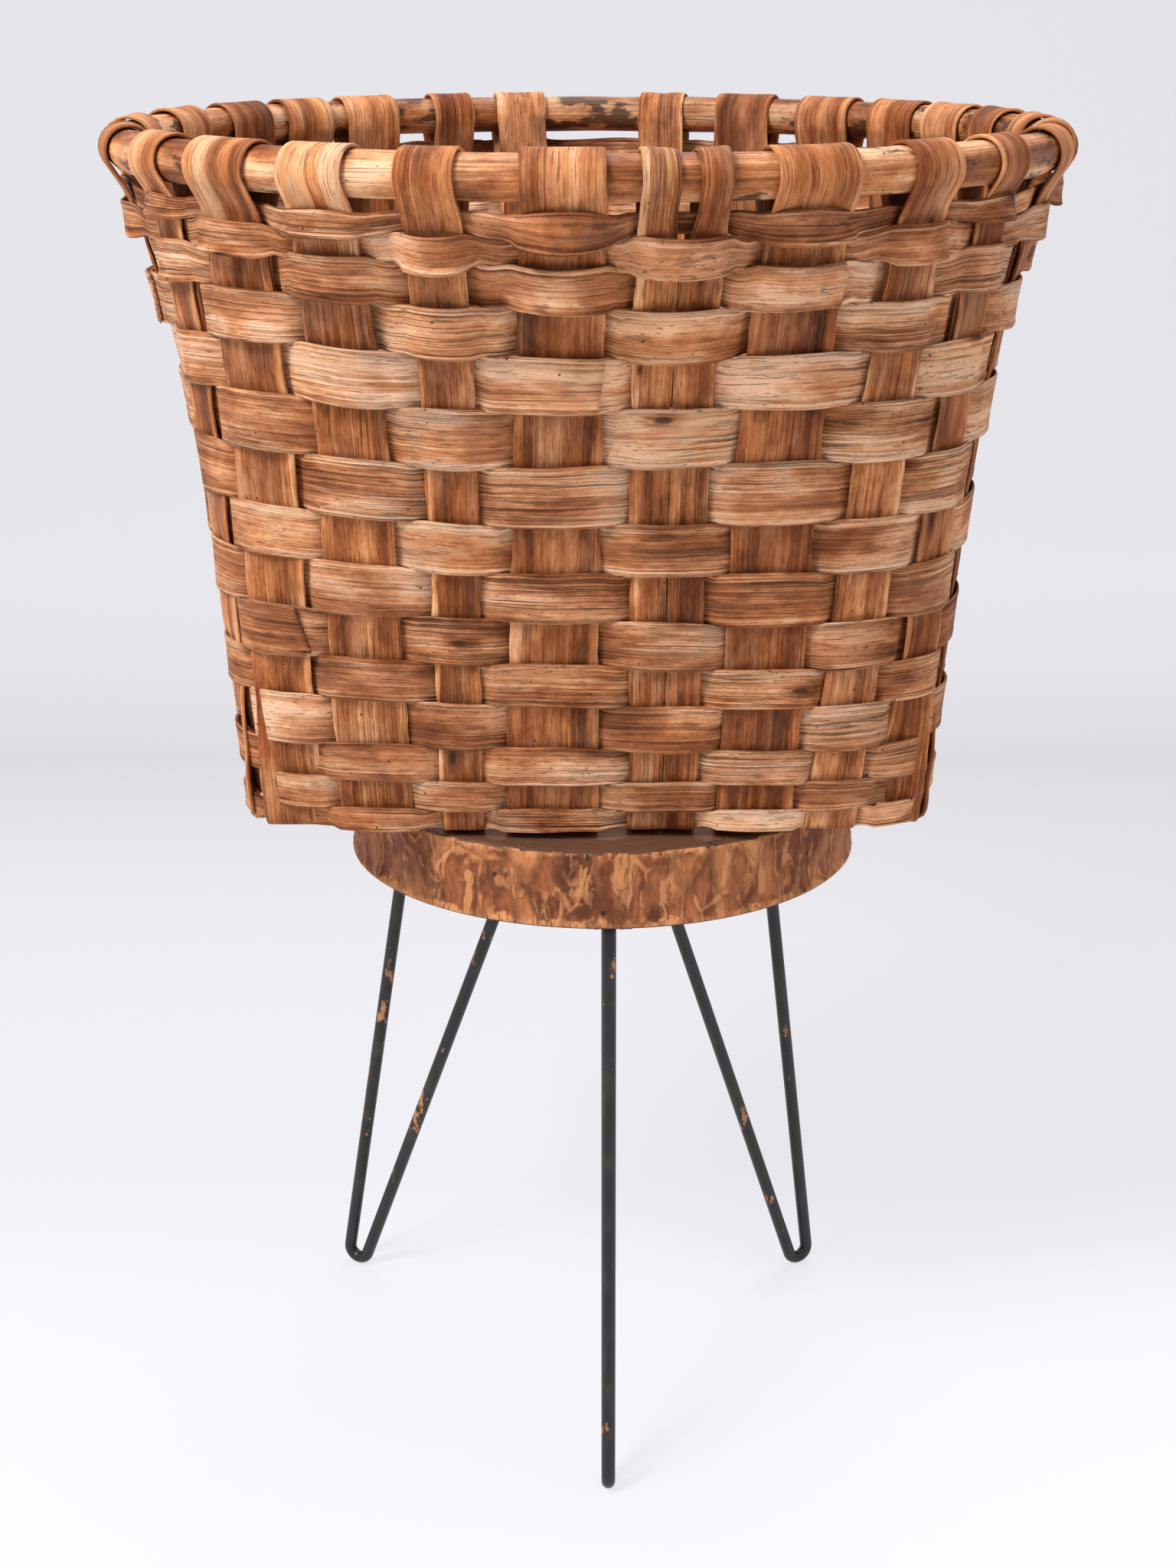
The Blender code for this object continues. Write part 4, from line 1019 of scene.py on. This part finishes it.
def mixed(share, a, b, blend="MIX"):
    links = [(where, (*color, 1) if isinstance(color, tuple) else color) for where, color in ((6, a), (7, b))]
    node = addNode(treeOf((share, a, b)), "Mix", [(0, share), *links], data_type="RGBA", blend_type=blend)
    return node.outputs[2]


def surface(shader, color, rough, relief, depth, strength=1.0):
    bump = addNode(shader.id_data, "Bump", [("Height", relief), ("Distance", depth), ("Strength", strength)])
    setInputs(shader, [("Base Color", color), ("Roughness", rough), ("Normal", bump.outputs[0])])


patterns = {
    # noise: its stretch in three directions, its start, detail and roughness, then the levels it is cut
    # between; in split wood the directions are along, across and through the grain
    "drift": ((6, 14, 14), (0, 0, 0), 2, 0.6),                   # fibres wander sideways
    "rib": ((2.2, 420, 420), (0, 0, 0), 4, 0.55, 0.34, 0.66),
    "ribbed": ((2.2, 46, 46), (6, 2, 4), 2, 0.6, 0.42, 0.66),    # stretches where ribs stand out
    "fibre": ((8, 900, 900), (0, 0, 0), 3, 0.6, 0.30, 0.70),
    "mottle": ((95, 210, 210), (4, 4, 1), 4, 0.65, 0.32, 0.68),
    "band": ((1.8, 60, 60), (0, 0, 0), 3, 0.6, 0.38, 0.62),
    "blotch": ((13, 32, 32), (0, 0, 0), 5, 0.62, 0.34, 0.66),
    "worn": ((9, 30, 30), (1, 8, 8), 2, 0.6, 0.40, 0.60),
    "orange": ((8, 22, 22), (2, 9, 6), 2, 0.6, 0.42, 0.66),
    "bleached": ((19, 50, 50), (7, 7, 2), 3, 0.6, 0.45, 0.70),
    "bark": ((26, 60, 60), (3, 1, 4), 5, 0.6),
    "groove": ((2.5, 210, 210), (9, 3, 1), 2, 0.6),
    "grooved": ((8, 34, 34), (2, 8, 5), 3, 0.6, 0.42, 0.60),     # stretches that have grooves
    "fleck": ((55, 620, 620), (1, 7, 2), 1, 0.6, 0.60, 0.70),
    "pit": ((210, 760, 760), (5, 5, 2), 1, 0.6, 0.675, 0.73),
    # the slab's hewn side
    "bendX": ((34, 34, 24), (0, 0, 0), 3, 0.6),
    "bendY": ((34, 34, 24), (5, 2, 8), 3, 0.6),
    "bendZ": ((34, 34, 24), (9, 9, 1), 3, 0.6),
    "strokes": ((80, 80, 20), (0, 0, 0), 5, 0.66),
    "fine": ((420, 420, 110), (0, 0, 0), 4, 0.65),
    "stain": ((22, 22, 16), (4, 1, 2), 4, 0.6, 0.54, 0.66),
    "scraped": ((70, 70, 17), (6, 3, 3), 3, 0.5, 0.575, 0.592),
    "lined": ((40, 40, 30), (2, 2, 6), 2, 0.6, 0.46, 0.56),
    "rimWaver": ((60, 60, 40), (0, 0, 0), 4, 0.6),
    # its top
    "ringBend": ((16, 16, 0), (0, 0, 0), 3, 0.6),
    "ringTone": ((60, 0, 0), (0, 0, 0), 2, 0.6),
    "sawn": ((700, 700, 0), (0, 0, 0), 3, 0.6),
    "cracked": ((14, 14, 0), (3, 3, 0), 3, 0.6, 0.5, 0.6),
    # paint and steel
    "paint": ((90, 90, 40), (0, 0, 0), 4, 0.6),
    "grit": ((900, 900, 900), (0, 0, 0), 2, 0.6),
    "chips": ((80, 80, 34), (5, 2, 7), 5, 0.66, 0.590, 0.610),
    "chipped": ((9, 9, 9), (1, 6, 3), 1, 0.6, 0.50, 0.54),
    "steel": ((300, 300, 300), (0, 0, 0), 3, 0.6),
}


def pattern(vector, name):
    scale, start, detail, rough, *levels = patterns[name]
    links = [("Vector", stretched(vector, scale, start)), ("Scale", 1.0), ("Detail", detail), ("Roughness", rough)]
    made = addNode(vector.id_data, "TexNoise", links).outputs[0]
    return between(made, *levels) if levels else made


splitWoodStops = (
    (0.00, (0.060, 0.014, 0.003)),
    (0.20, (0.160, 0.045, 0.011)),
    (0.40, (0.300, 0.098, 0.030)),
    (0.58, (0.460, 0.182, 0.070)),
    (0.76, (0.660, 0.312, 0.142)),
    (1.00, (0.860, 0.535, 0.330)),
)
bleachedStops = ((0.25, (0.200, 0.098, 0.055)), (0.60, (0.540, 0.320, 0.200)), (1.0, (0.860, 0.640, 0.460)))
woodLooks = {
    # shares of broad bands, ribs, fibres and blotches in the colour; then of dark lines, flecks, pits, knots,
    # worm holes and bark; how far ribs and a paler tone keep to the edges; then the height of the ribs
    "stakeWood": {
        "band": 0.28, "rib": 0.18, "fibre": 0.18, "mottle": 0.12, "blotch": 0.34,
        "lines": 0.55, "flecks": 0.75, "pits": 0.6, "knots": 0.8, "holes": 1.0, "bark": 0.0,
        "rim": 0.5, "rimPale": 0.20, "relief": 0.0010, "rough": 0.66,
        "warm": (1.04, 0.93, 0.83), "orange": (1.0, 0.93, 0.80)},
    "weaverWood": {
        "band": 0.20, "rib": 0.44, "fibre": 0.20, "mottle": 0.10, "blotch": 0.48,
        "lines": 0.70, "flecks": 0.70, "pits": 1.0, "knots": 1.0, "holes": 1.0, "bark": 0.0,
        "rim": 1.0, "rimPale": 0.08, "relief": 0.0022, "rough": 0.62,
        "warm": (1.08, 1.04, 1.10), "orange": (1.0, 0.91, 0.75)},
    "hoopWood": {
        "band": 0.36, "rib": 0.12, "fibre": 0.10, "mottle": 0.16, "blotch": 0.60,
        "lines": 0.50, "flecks": 0.40, "pits": 1.0, "knots": 1.2, "holes": 1.0, "bark": 1.0,
        "rim": 0.0, "rimPale": 0.0, "relief": 0.0006, "rough": 0.46,
        "warm": (1.05, 0.97, 0.89), "orange": (1.0, 0.90, 0.70)},
}
woodMarks = {
    "drift": 0.004,                          # how far fibres wander sideways
    "rimAt": (0.48, 0.80), "wornAt": (0.66, 0.84),    # from a strip's middle, 0, to its edge, 1
    "ribbed": 0.75, "ribLeast": 0.15,        # ribs away from the edges, and where the wood is smooth
    "knotCells": (14, 36, 36), "knotCount": 0.56, "knotSize": (0.26, 0.05), "heartSize": (0.10, 0.05),
    "knotDark": 0.42, "heartDark": 0.85,
    "holeCells": (98, 112, 0), "holeCount": 0.55, "holeSize": (0.085, 0.050),
    "orange": 0.8, "bleached": 0.24,
    # colours, and between which levels of the blotches or bands they lie
    "grey": (0.210, 0.125, 0.080), "greyAt": (0.45, 0.85),
    "dirtAndShade": (0.050, 0.022, 0.011), "dirtAndShadeShare": 0.75, "dirtAndShadeAt": (0.30, 0.90),
    "bark": (0.060, 0.020, 0.008), "barkShare": 0.90, "barkAt": (0.565, 0.635), "grimyBark": 0.10,
    "dark": (0.040, 0.012, 0.003), "pitAt": (0.35, 0.80), "holeAt": (0.30, 0.55),
    "grooveWidth": (0.030, 0.004), "fleckDark": 0.6,
    "heights": {"fibre": 0.25, "band": 0.5, "mottle": 0.25, "dark": 0.7, "knot": 0.5},    # beside ribs, 1
    "ribGloss": 0.16, "specular": 0.20,
}


def splitWood(name):
    looks, marks = woodLooks[name], woodMarks
    material, tree, shader = newMaterial(name)
    grain = attribute(tree, "grain")
    edge = attribute(tree, "edge", "Fac")
    pale, grey, grimeAndShade = parts(attribute(tree, "tint"))
    drift = times(minus(pattern(grain, "drift"), 0.5), marks["drift"])
    drift = addNode(tree, "CombineXYZ", [(1, drift), (2, drift)]).outputs[0]
    wood = addNode(tree, "VectorMath", [(0, grain), (1, drift)], operation="ADD").outputs[0]

    # ribs stand out along the edges and on some stretches, and are worn away on others
    ribbed = largest(times(pattern(grain, "ribbed"), marks["ribbed"]),
                     times(between(edge, *marks["rimAt"]), looks["rim"]))
    rib = minus(pattern(wood, "rib"), 0.5)
    rib = scaled(rib, scaled(ribbed, 1 - marks["ribLeast"], marks["ribLeast"]), 0.5)
    fibre, mottle, band = (pattern(wood, each) for each in ("fibre", "mottle", "band"))
    blotch = pattern(grain, "blotch")
    tone = pale
    for share, part in (("rib", rib), ("band", band), ("fibre", fibre), ("mottle", mottle), ("blotch", blotch)):
        tone = scaled(minus(part, 0.5), looks[share], tone)
    worn = times(pattern(grain, "worn"), between(edge, *marks["wornAt"]))
    tone = scaled(worn, looks["rimPale"], tone)

    # knots: few and long, with a dark heart
    knotCell = cells(wood, marks["knotCells"])
    few = someCells(knotCell, marks["knotCount"])
    knot = times(between(knotCell.outputs["Distance"], *marks["knotSize"]), few)
    heart = times(between(knotCell.outputs["Distance"], *marks["heartSize"]), few)
    tone = minus(tone, times(knot, marks["knotDark"] * looks["knots"]))
    stops = [(at, [min(part * share, 1) for part, share in zip(stop, looks["warm"])])
             for at, stop in splitWoodStops]
    color = ramp(tone, stops)

    # some stretches are more orange, some bleached or weathered grey, and old dirt lies in patches; on the stakes'
    # tucked tails these dark patches are painted shade
    color = mixed(times(pattern(grain, "orange"), marks["orange"]), color, looks["orange"], "MULTIPLY")
    color = mixed(times(pattern(grain, "bleached"), marks["bleached"]), color, ramp(tone, bleachedStops))
    color = mixed(times(grey, between(blotch, *marks["greyAt"])), color, marks["grey"])
    dirtAndShade = maths("MULTIPLY", grimeAndShade, between(band, *marks["dirtAndShadeAt"]), clamp=True)
    color = mixed(times(dirtAndShade, marks["dirtAndShadeShare"]), color, marks["dirtAndShade"])
    if looks["bark"]:
        # flakes of dark bark that were left on, more of them where it is grimy
        bark = scaled(grimeAndShade, marks["grimyBark"], pattern(grain, "bark"))
        color = mixed(times(between(bark, *marks["barkAt"]), marks["barkShare"]), color, marks["bark"])

    # dark grooves between the ribs, short flecks, worm holes and the hearts of knots
    groove = maths("ABSOLUTE", minus(pattern(wood, "groove"), 0.5))
    groove = times(between(groove, *marks["grooveWidth"]), pattern(grain, "grooved"), looks["lines"])
    pit = times(pattern(wood, "pit"), between(blotch, *marks["pitAt"]), looks["pits"])
    fleck = largest(times(pattern(wood, "fleck"), looks["flecks"]), pit)
    holeCell = cells(grain, marks["holeCells"])
    hole = times(between(holeCell.outputs["Distance"], *marks["holeSize"]),
                 someCells(holeCell, marks["holeCount"], 1), between(blotch, *marks["holeAt"]), looks["holes"])
    dark = largest(hole, groove, times(fleck, marks["fleckDark"]), times(heart, marks["heartDark"]))
    color = mixed(dark, color, marks["dark"])

    heights = marks["heights"]
    relief = scaled(fibre, heights["fibre"], scaled(band, heights["band"], rib))
    relief = scaled(mottle, heights["mottle"], relief)
    relief = minus(relief, times(dark, heights["dark"]))
    relief = scaled(knot, heights["knot"], relief)
    rough = scaled(minus(0.5, rib), marks["ribGloss"], looks["rough"])
    surface(shader, color, rough, relief, looks["relief"])
    shader.inputs["Specular IOR Level"].default_value = marks["specular"]
    return material


slabFinish = {
    "side": ((0.34, (0.190, 0.051, 0.017)), (0.50, (0.365, 0.119, 0.041)), (0.72, (0.490, 0.186, 0.069))),
    "stain": (0.075, 0.021, 0.007), "stainShare": 0.80,
    "bend": 0.020,               # how far the facets' edges wander
    "facets": (40, 40, 16), "facetTone": 0.26, "fineTone": 0.28,
    # pale wood and its share: scraped, in scoops, in lines along the seams, and on both rims
    "tan": (0.585, 0.250, 0.100), "tanShare": 0.90, "scraped": 0.75, "scooped": 0.55, "lined": 0.45,
    "roughAt": (0.36, 0.52),     # between which levels of the strokes and the fine noise it shows
    "scoops": (58, 58, 40), "scoopStart": (3, 3, 1), "scoopCount": 0.58,
    "scoopBelow": (0.02, -0.16), "scoopIn": (0.28, 0.38), "scoopOut": (0.46, 0.40),
    "seamWidth": (0.055, 0.012), "seamShade": (0.16, 0.03), "seamDark": 0.50,
    "rimAt": (0.41, 0.46), "rimWaver": 0.50,          # pale rims, from mid height 0 to the rims 0.5
    "chip": (0.03, 0.012, 0.006), "chipShare": 0.85,
    "chips": (85, 85, 55), "chipCount": 0.82, "chipSize": (0.17, 0.10),
    "heights": {"fine": 0.25, "strokes": 0.5, "seam": -0.6, "stroke": 0.5, "chip": 0.4}, "seamSlope": (0.0, 0.25),
    "relief": 0.0018, "rough": 0.62, "specular": 0.25,
    # the top, in colours darkened as painted shade under the basket: where its heart is, rings a metre, cracks
    "top": ((0.25, (0.075, 0.021, 0.007)), (0.50, (0.110, 0.042, 0.018)), (0.80, (0.260, 0.100, 0.042))),
    "heart": (-0.012, 0.017, 0), "rings": 1900, "ringBend": 0.030,
    "years": 0.10, "sawn": 0.35, "slow": 0.60, "yearHeight": 0.25,
    "crack": (0.02, 0.009, 0.005), "cracks": 4.0, "crackWidth": (0.030, 0.008), "crackBend": 2.2,
    "topRelief": 0.0006, "topStrength": 0.7, "topRough": 0.74,
}


def slabSideWood():
    # hewn in facets: each has its own tone, with pale scrapes between and rough pale rims
    looks = slabFinish
    material, tree, shader = newMaterial("slabSideWood")
    grain = attribute(tree, "grain")
    height = parts(attribute(tree, "tint"))[1]
    bend = [times(minus(pattern(grain, name), 0.5), looks["bend"]) for name in ("bendX", "bendY", "bendZ")]
    bend = addNode(tree, "CombineXYZ", enumerate(bend)).outputs[0]
    bent = addNode(tree, "VectorMath", [(0, grain), (1, bend)], operation="ADD").outputs[0]
    facetTone = parts(cells(bent, looks["facets"]).outputs["Color"])[0]
    seam = cells(bent, looks["facets"], feature="DISTANCE_TO_EDGE").outputs["Distance"]
    strokes, fine = pattern(bent, "strokes"), pattern(grain, "fine")
    tone = scaled(minus(facetTone, 0.5), looks["facetTone"], strokes)
    tone = scaled(minus(fine, 0.5), looks["fineTone"], tone)
    color = ramp(tone, looks["side"])
    color = mixed(times(pattern(bent, "stain"), looks["stainShare"]), color, looks["stain"])

    # tan where the last strokes scraped down, along the seams, and on both rims
    scraped = times(pattern(bent, "scraped"), between(strokes, *looks["roughAt"]))
    place = stretched(bent, looks["scoops"], looks["scoopStart"])
    scoop = addNode(tree, "TexVoronoi", [("Vector", place), ("Scale", 1.0)])
    off = addNode(tree, "VectorMath", [(0, place), (1, scoop.outputs["Position"])], operation="SUBTRACT")
    below = between(parts(off.outputs[0])[2], *looks["scoopBelow"])
    reach = scoop.outputs["Distance"]
    stroke = times(between(reach, *looks["scoopIn"]), between(reach, *looks["scoopOut"]), below,
                   someCells(scoop, looks["scoopCount"]))
    line = times(between(seam, *looks["seamWidth"]), pattern(grain, "lined"))
    rim = maths("ABSOLUTE", minus(height, 0.5))
    rim = scaled(minus(pattern(grain, "rimWaver"), 0.5), looks["rimWaver"], rim)
    rim = times(between(rim, *looks["rimAt"]), between(fine, *looks["roughAt"]))
    pale = largest(times(scraped, looks["scraped"]), times(stroke, looks["scooped"]),
                   times(line, looks["lined"]), rim)
    color = mixed(times(pale, looks["tanShare"]), color, looks["tan"])

    shade = times(between(seam, *looks["seamShade"]), minus(1.0, line))
    color = mixed(times(shade, looks["seamDark"]), color, looks["stain"])
    chips = cells(bent, looks["chips"])
    chip = times(between(chips.outputs["Distance"], *looks["chipSize"]), someCells(chips, looks["chipCount"]))
    color = mixed(times(chip, looks["chipShare"]), color, looks["chip"])
    heights = looks["heights"]
    relief = scaled(strokes, heights["strokes"], times(fine, heights["fine"]))
    relief = scaled(between(seam, *looks["seamSlope"]), heights["seam"], relief)
    relief = scaled(stroke, heights["stroke"], relief)
    relief = minus(relief, times(chip, heights["chip"]))
    surface(shader, color, looks["rough"], relief, looks["relief"])
    shader.inputs["Specular IOR Level"].default_value = looks["specular"]
    return material


def shadedSlabEndWood():
    # growth rings, saw marks and a few cracks out from the heart, in colours darkened as painted shade under the
    # basket
    looks = slabFinish
    material, tree, shader = newMaterial("shadedSlabEndWood")
    grain = attribute(tree, "grain")
    bend = pattern(grain, "ringBend")
    x, y, _ = parts(grain)
    flat = stretched(grain, (1, 1, 0), looks["heart"])
    radius = addNode(tree, "VectorMath", [(0, flat)], operation="LENGTH").outputs["Value"]
    radius = scaled(bend, looks["ringBend"], radius)
    years = maths("SINE", times(radius, looks["rings"]))
    slow = pattern(addNode(tree, "CombineXYZ", [(0, radius)]).outputs[0], "ringTone")
    sawn = pattern(grain, "sawn")
    tone = scaled(years, looks["years"], scaled(sawn, looks["sawn"], times(slow, looks["slow"])))
    # painted shade: the top is coloured as dark as it looks in the basket's shadow
    color = ramp(tone, looks["top"])
    angle = times(maths("ARCTAN2", y, x), looks["cracks"])
    crack = maths("ABSOLUTE", maths("SINE", scaled(bend, looks["crackBend"], angle)))
    crack = times(between(crack, *looks["crackWidth"]), pattern(grain, "cracked"))
    color = mixed(crack, color, looks["crack"])
    relief = minus(scaled(years, looks["yearHeight"], sawn), crack)
    surface(shader, color, looks["topRough"], relief, looks["topRelief"], looks["topStrength"])
    return material


metalLooks = {
    "paint": (0.008, 0.007, 0.007), "paintWorn": (0.030, 0.026, 0.024), "rust": (0.420, 0.175, 0.070),
    "paintRough": 0.28, "paintRelief": 0.0002,
    "steel": (0.36, 0.35, 0.33), "steelDull": (0.20, 0.17, 0.14), "steelRough": 0.28, "steelRelief": 0.0001,
    "wornAt": (0.45, 0.75), "strength": 0.5,
    "mottleRough": 0.25, "chipRough": 0.25, "grit": 0.25, "steelMottle": 0.30,
}


def legPaint():
    looks = metalLooks
    material, tree, shader = newMaterial("legPaint")
    place = addNode(tree, "TexCoord").outputs["Object"]
    mottle = pattern(place, "paint")
    chip = times(pattern(place, "chips"), pattern(place, "chipped"))
    color = mixed(between(mottle, *looks["wornAt"]), looks["paint"], looks["paintWorn"])
    color = mixed(chip, color, looks["rust"])
    rough = scaled(mottle, looks["mottleRough"], scaled(chip, looks["chipRough"], looks["paintRough"]))
    relief = minus(scaled(pattern(place, "grit"), looks["grit"], mottle), chip)
    surface(shader, color, rough, relief, looks["paintRelief"], looks["strength"])
    return material


def screwSteel():
    looks = metalLooks
    material, tree, shader = newMaterial("screwSteel")
    mottle = pattern(addNode(tree, "TexCoord").outputs["Object"], "steel")
    color = mixed(between(mottle, *looks["wornAt"]), looks["steel"], looks["steelDull"])
    rough = scaled(mottle, looks["steelMottle"], looks["steelRough"])
    surface(shader, color, rough, mottle, looks["steelRelief"], looks["strength"])
    shader.inputs["Metallic"].default_value = 1.0
    return material


def dress(piece, material, slot, *nodes):
    # its material, the body it rides on, and the frame's parts that it stands in for, which are hidden
    for each in material if isinstance(material, tuple) else (material,):
        piece.data.materials.append(each)
    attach(piece, "root")
    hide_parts(*nodes)
    return piece


stakeWood = splitWood("stakeWood")
weaverWood = splitWood("weaverWood")
hoopWood = splitWood("hoopWood")
paint = legPaint()
steel = screwSteel()

pairs, ring = makeEnds()
overLift = wall["stakeThickness"] + wall["baseGap"]
for number, (start, finish) in enumerate(pairs):
    isLong = number < len(longStakes)
    lifts = []
    if not isLong:
        for column, (x, width, *_) in enumerate(longStakes):
            lift = overLift if (number - len(longStakes) + column) % 2 == 0 else -overLift
            for side in (-1, 1):
                lifts.append((np.array([x + side * (width / 2 + wall["sideGap"]), 0, 0]), lift))
    node = f"splint_long_{number + 1}" if isLong else f"splint_cross_{number - len(longStakes) + 1}"
    piece = makeStake("stake_" + node[7:], start, finish, lifts, 100 + number)
    dress(piece, stakeWood, "splint_wood", node)
print("stakes made")

for row in range(rowCount):
    dress(makeWeaver(f"weaver_strip_{row + 1:02d}", ring, row, 200 + row), weaverWood, "weaver_wood",
          f"weaver_row_{row + 1:02d}")
print("weavers made")

dress(makeHoop(), hoopWood, "hoop_wood", "rim_hoop")
dress(makeSlab(), (slabSideWood(), shadedSlabEndWood()), "slab_wood", "stand_slab")
for leg in legLooks["places"]:
    dress(makeLeg(leg), paint, "black_steel", f"hairpin_leg_{leg}")
    beads = makeBeads(leg)
    beads.data.materials.append(paint)
    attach(beads, "root")
for name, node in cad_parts.items():
    if name.startswith("leg_plate"):
        node.data.materials.clear()
        node.data.materials.append(paint)
    elif "screw" in name or "washer" in name:
        node.data.materials.clear()
        node.data.materials.append(steel)
print("stand made")


studio = {
    # metres: the sheet's half width and front edge, where it curves up, how round, and how high it goes
    "sheetWidth": 14.0, "curveAt": 2.6, "curve": 1.2, "curveSteps": 12, "sheetHeight": 5.0, "sheetRough": 0.9,
    # how bright the sheet looks front to back, between the places in "reach": painted light and shade on even
    # paper
    "reach": (-0.40, 3.20),
    "paper": ((0.03, 0.925), (0.12, 0.875), (0.18, 0.815), (0.33, 0.800), (0.41, 0.755), (0.505, 0.690),
              (0.63, 0.765), (0.80, 0.805), (1.0, 0.790)),
    "tintOfPaper": (1.0, 0.991, 1.048), "bounce": 0.80, "cameraShare": 0.82, "beyond": 0.78,
    "sky": (1.0, 0.98, 0.97), "skyStrength": 0.57,
    # place, target, size, watts
    "lamps": (((-1.7, -1.6, 2.9), (0, 0, 0.6), 1.2, 110), ((2.2, -1.2, 1.8), (0, 0, 0.5), 1.4, 11),
              ((0.4, 1.2, 3.0), (0, 0, 0.7), 1.4, 38)),
}
camera = {"place": (0.0, -1.6368, 1.0022), "pitch": 18.754, "lens": 55.27, "sensor": 36.0}


def makeFloor():
    # one sheet, flat under the stand and curving up behind it
    bm = bmesh.new()
    wide, at, size, steps = (studio[key] for key in ("sheetWidth", "curveAt", "curve", "curveSteps"))
    profile = [(-wide, 0.0)]
    for i in range(steps + 1):
        angle = math.pi / 2 * i / steps
        profile.append((at + size * math.sin(angle), size - size * math.cos(angle)))
    profile.append((at + size, studio["sheetHeight"]))
    rows = [[bm.verts.new((x, y, z)) for x in (-wide, wide)] for y, z in profile]
    for a, b in zip(rows, rows[1:]):
        bm.faces.new((a[0], a[1], b[1], b[0])).smooth = True
    floor = pieceFrom(bm, "floor")
    material, tree, shader = newMaterial("floorPaper")
    seen = addNode(tree, "LightPath")
    rays = largest(*(seen.outputs[f"Is {kind} Ray"] for kind in ("Camera", "Glossy", "Transmission")))
    where = parts(addNode(tree, "TexCoord").outputs["Object"])[1]
    # painted light and shade: the sheet's brightness changes from front to back
    color = ramp(between(where, *studio["reach"], "LINEAR"),
                 [(at, [tone * share for share in studio["tintOfPaper"]]) for at, tone in studio["paper"]])
    color = mixed(rays, (studio["bounce"],) * 3, color)
    setInputs(shader, [("Base Color", color), ("Roughness", studio["sheetRough"])])
    glow = addNode(tree, "Emission", [("Color", color), ("Strength", 1.0)]).outputs[0]
    share = times(rays, studio["cameraShare"])
    both = addNode(tree, "MixShader", [(0, share), (1, shader.outputs[0]), (2, glow)]).outputs[0]
    tree.links.new(both, tree.nodes["Material Output"].inputs["Surface"])
    floor.data.materials.append(material)


def makeLamps():
    for number, (at, target, size, watts) in enumerate(studio["lamps"]):
        light = bpy.data.lights.new(f"softbox_{number + 1}", "AREA")
        light.shape = "DISK"
        light.size = size
        light.energy = watts
        lamp = newPiece(f"softbox_{number + 1}", light)
        lamp.location = at
        lamp.rotation_euler = (Vector(target) - Vector(at)).to_track_quat("-Z", "Y").to_euler()
    world = bpy.data.worlds.new("studio")
    world.use_nodes = True
    tree = world.node_tree
    sky = tree.nodes["Background"]
    sky.inputs["Color"].default_value = (*studio["sky"], 1)
    sky.inputs["Strength"].default_value = studio["skyStrength"]
    # past the sheet's edges the camera sees the same pale paper
    beyond = [studio["beyond"] * share for share in studio["tintOfPaper"]]
    paper = addNode(tree, "Background", [("Color", (*beyond, 1)), ("Strength", 1.0)])
    seen = addNode(tree, "LightPath").outputs["Is Camera Ray"]
    both = addNode(tree, "MixShader", [(0, seen), (1, sky.outputs[0]), (2, paper.outputs[0])])
    tree.links.new(both.outputs[0], tree.nodes["World Output"].inputs["Surface"])
    bpy.context.scene.world = world


def makeCamera():
    lens = bpy.data.cameras.new("camera")
    lens.lens = camera["lens"]
    lens.sensor_width = camera["sensor"]
    lens.sensor_fit = "AUTO"
    seen = newPiece("camera", lens)
    seen.location = camera["place"]
    seen.rotation_euler = (math.radians(90 - camera["pitch"]), 0, 0)
    bpy.context.scene.camera = seen


makeFloor()
makeLamps()
makeCamera()
bpy.context.scene.view_settings.view_transform = "Standard"
print("studio made")
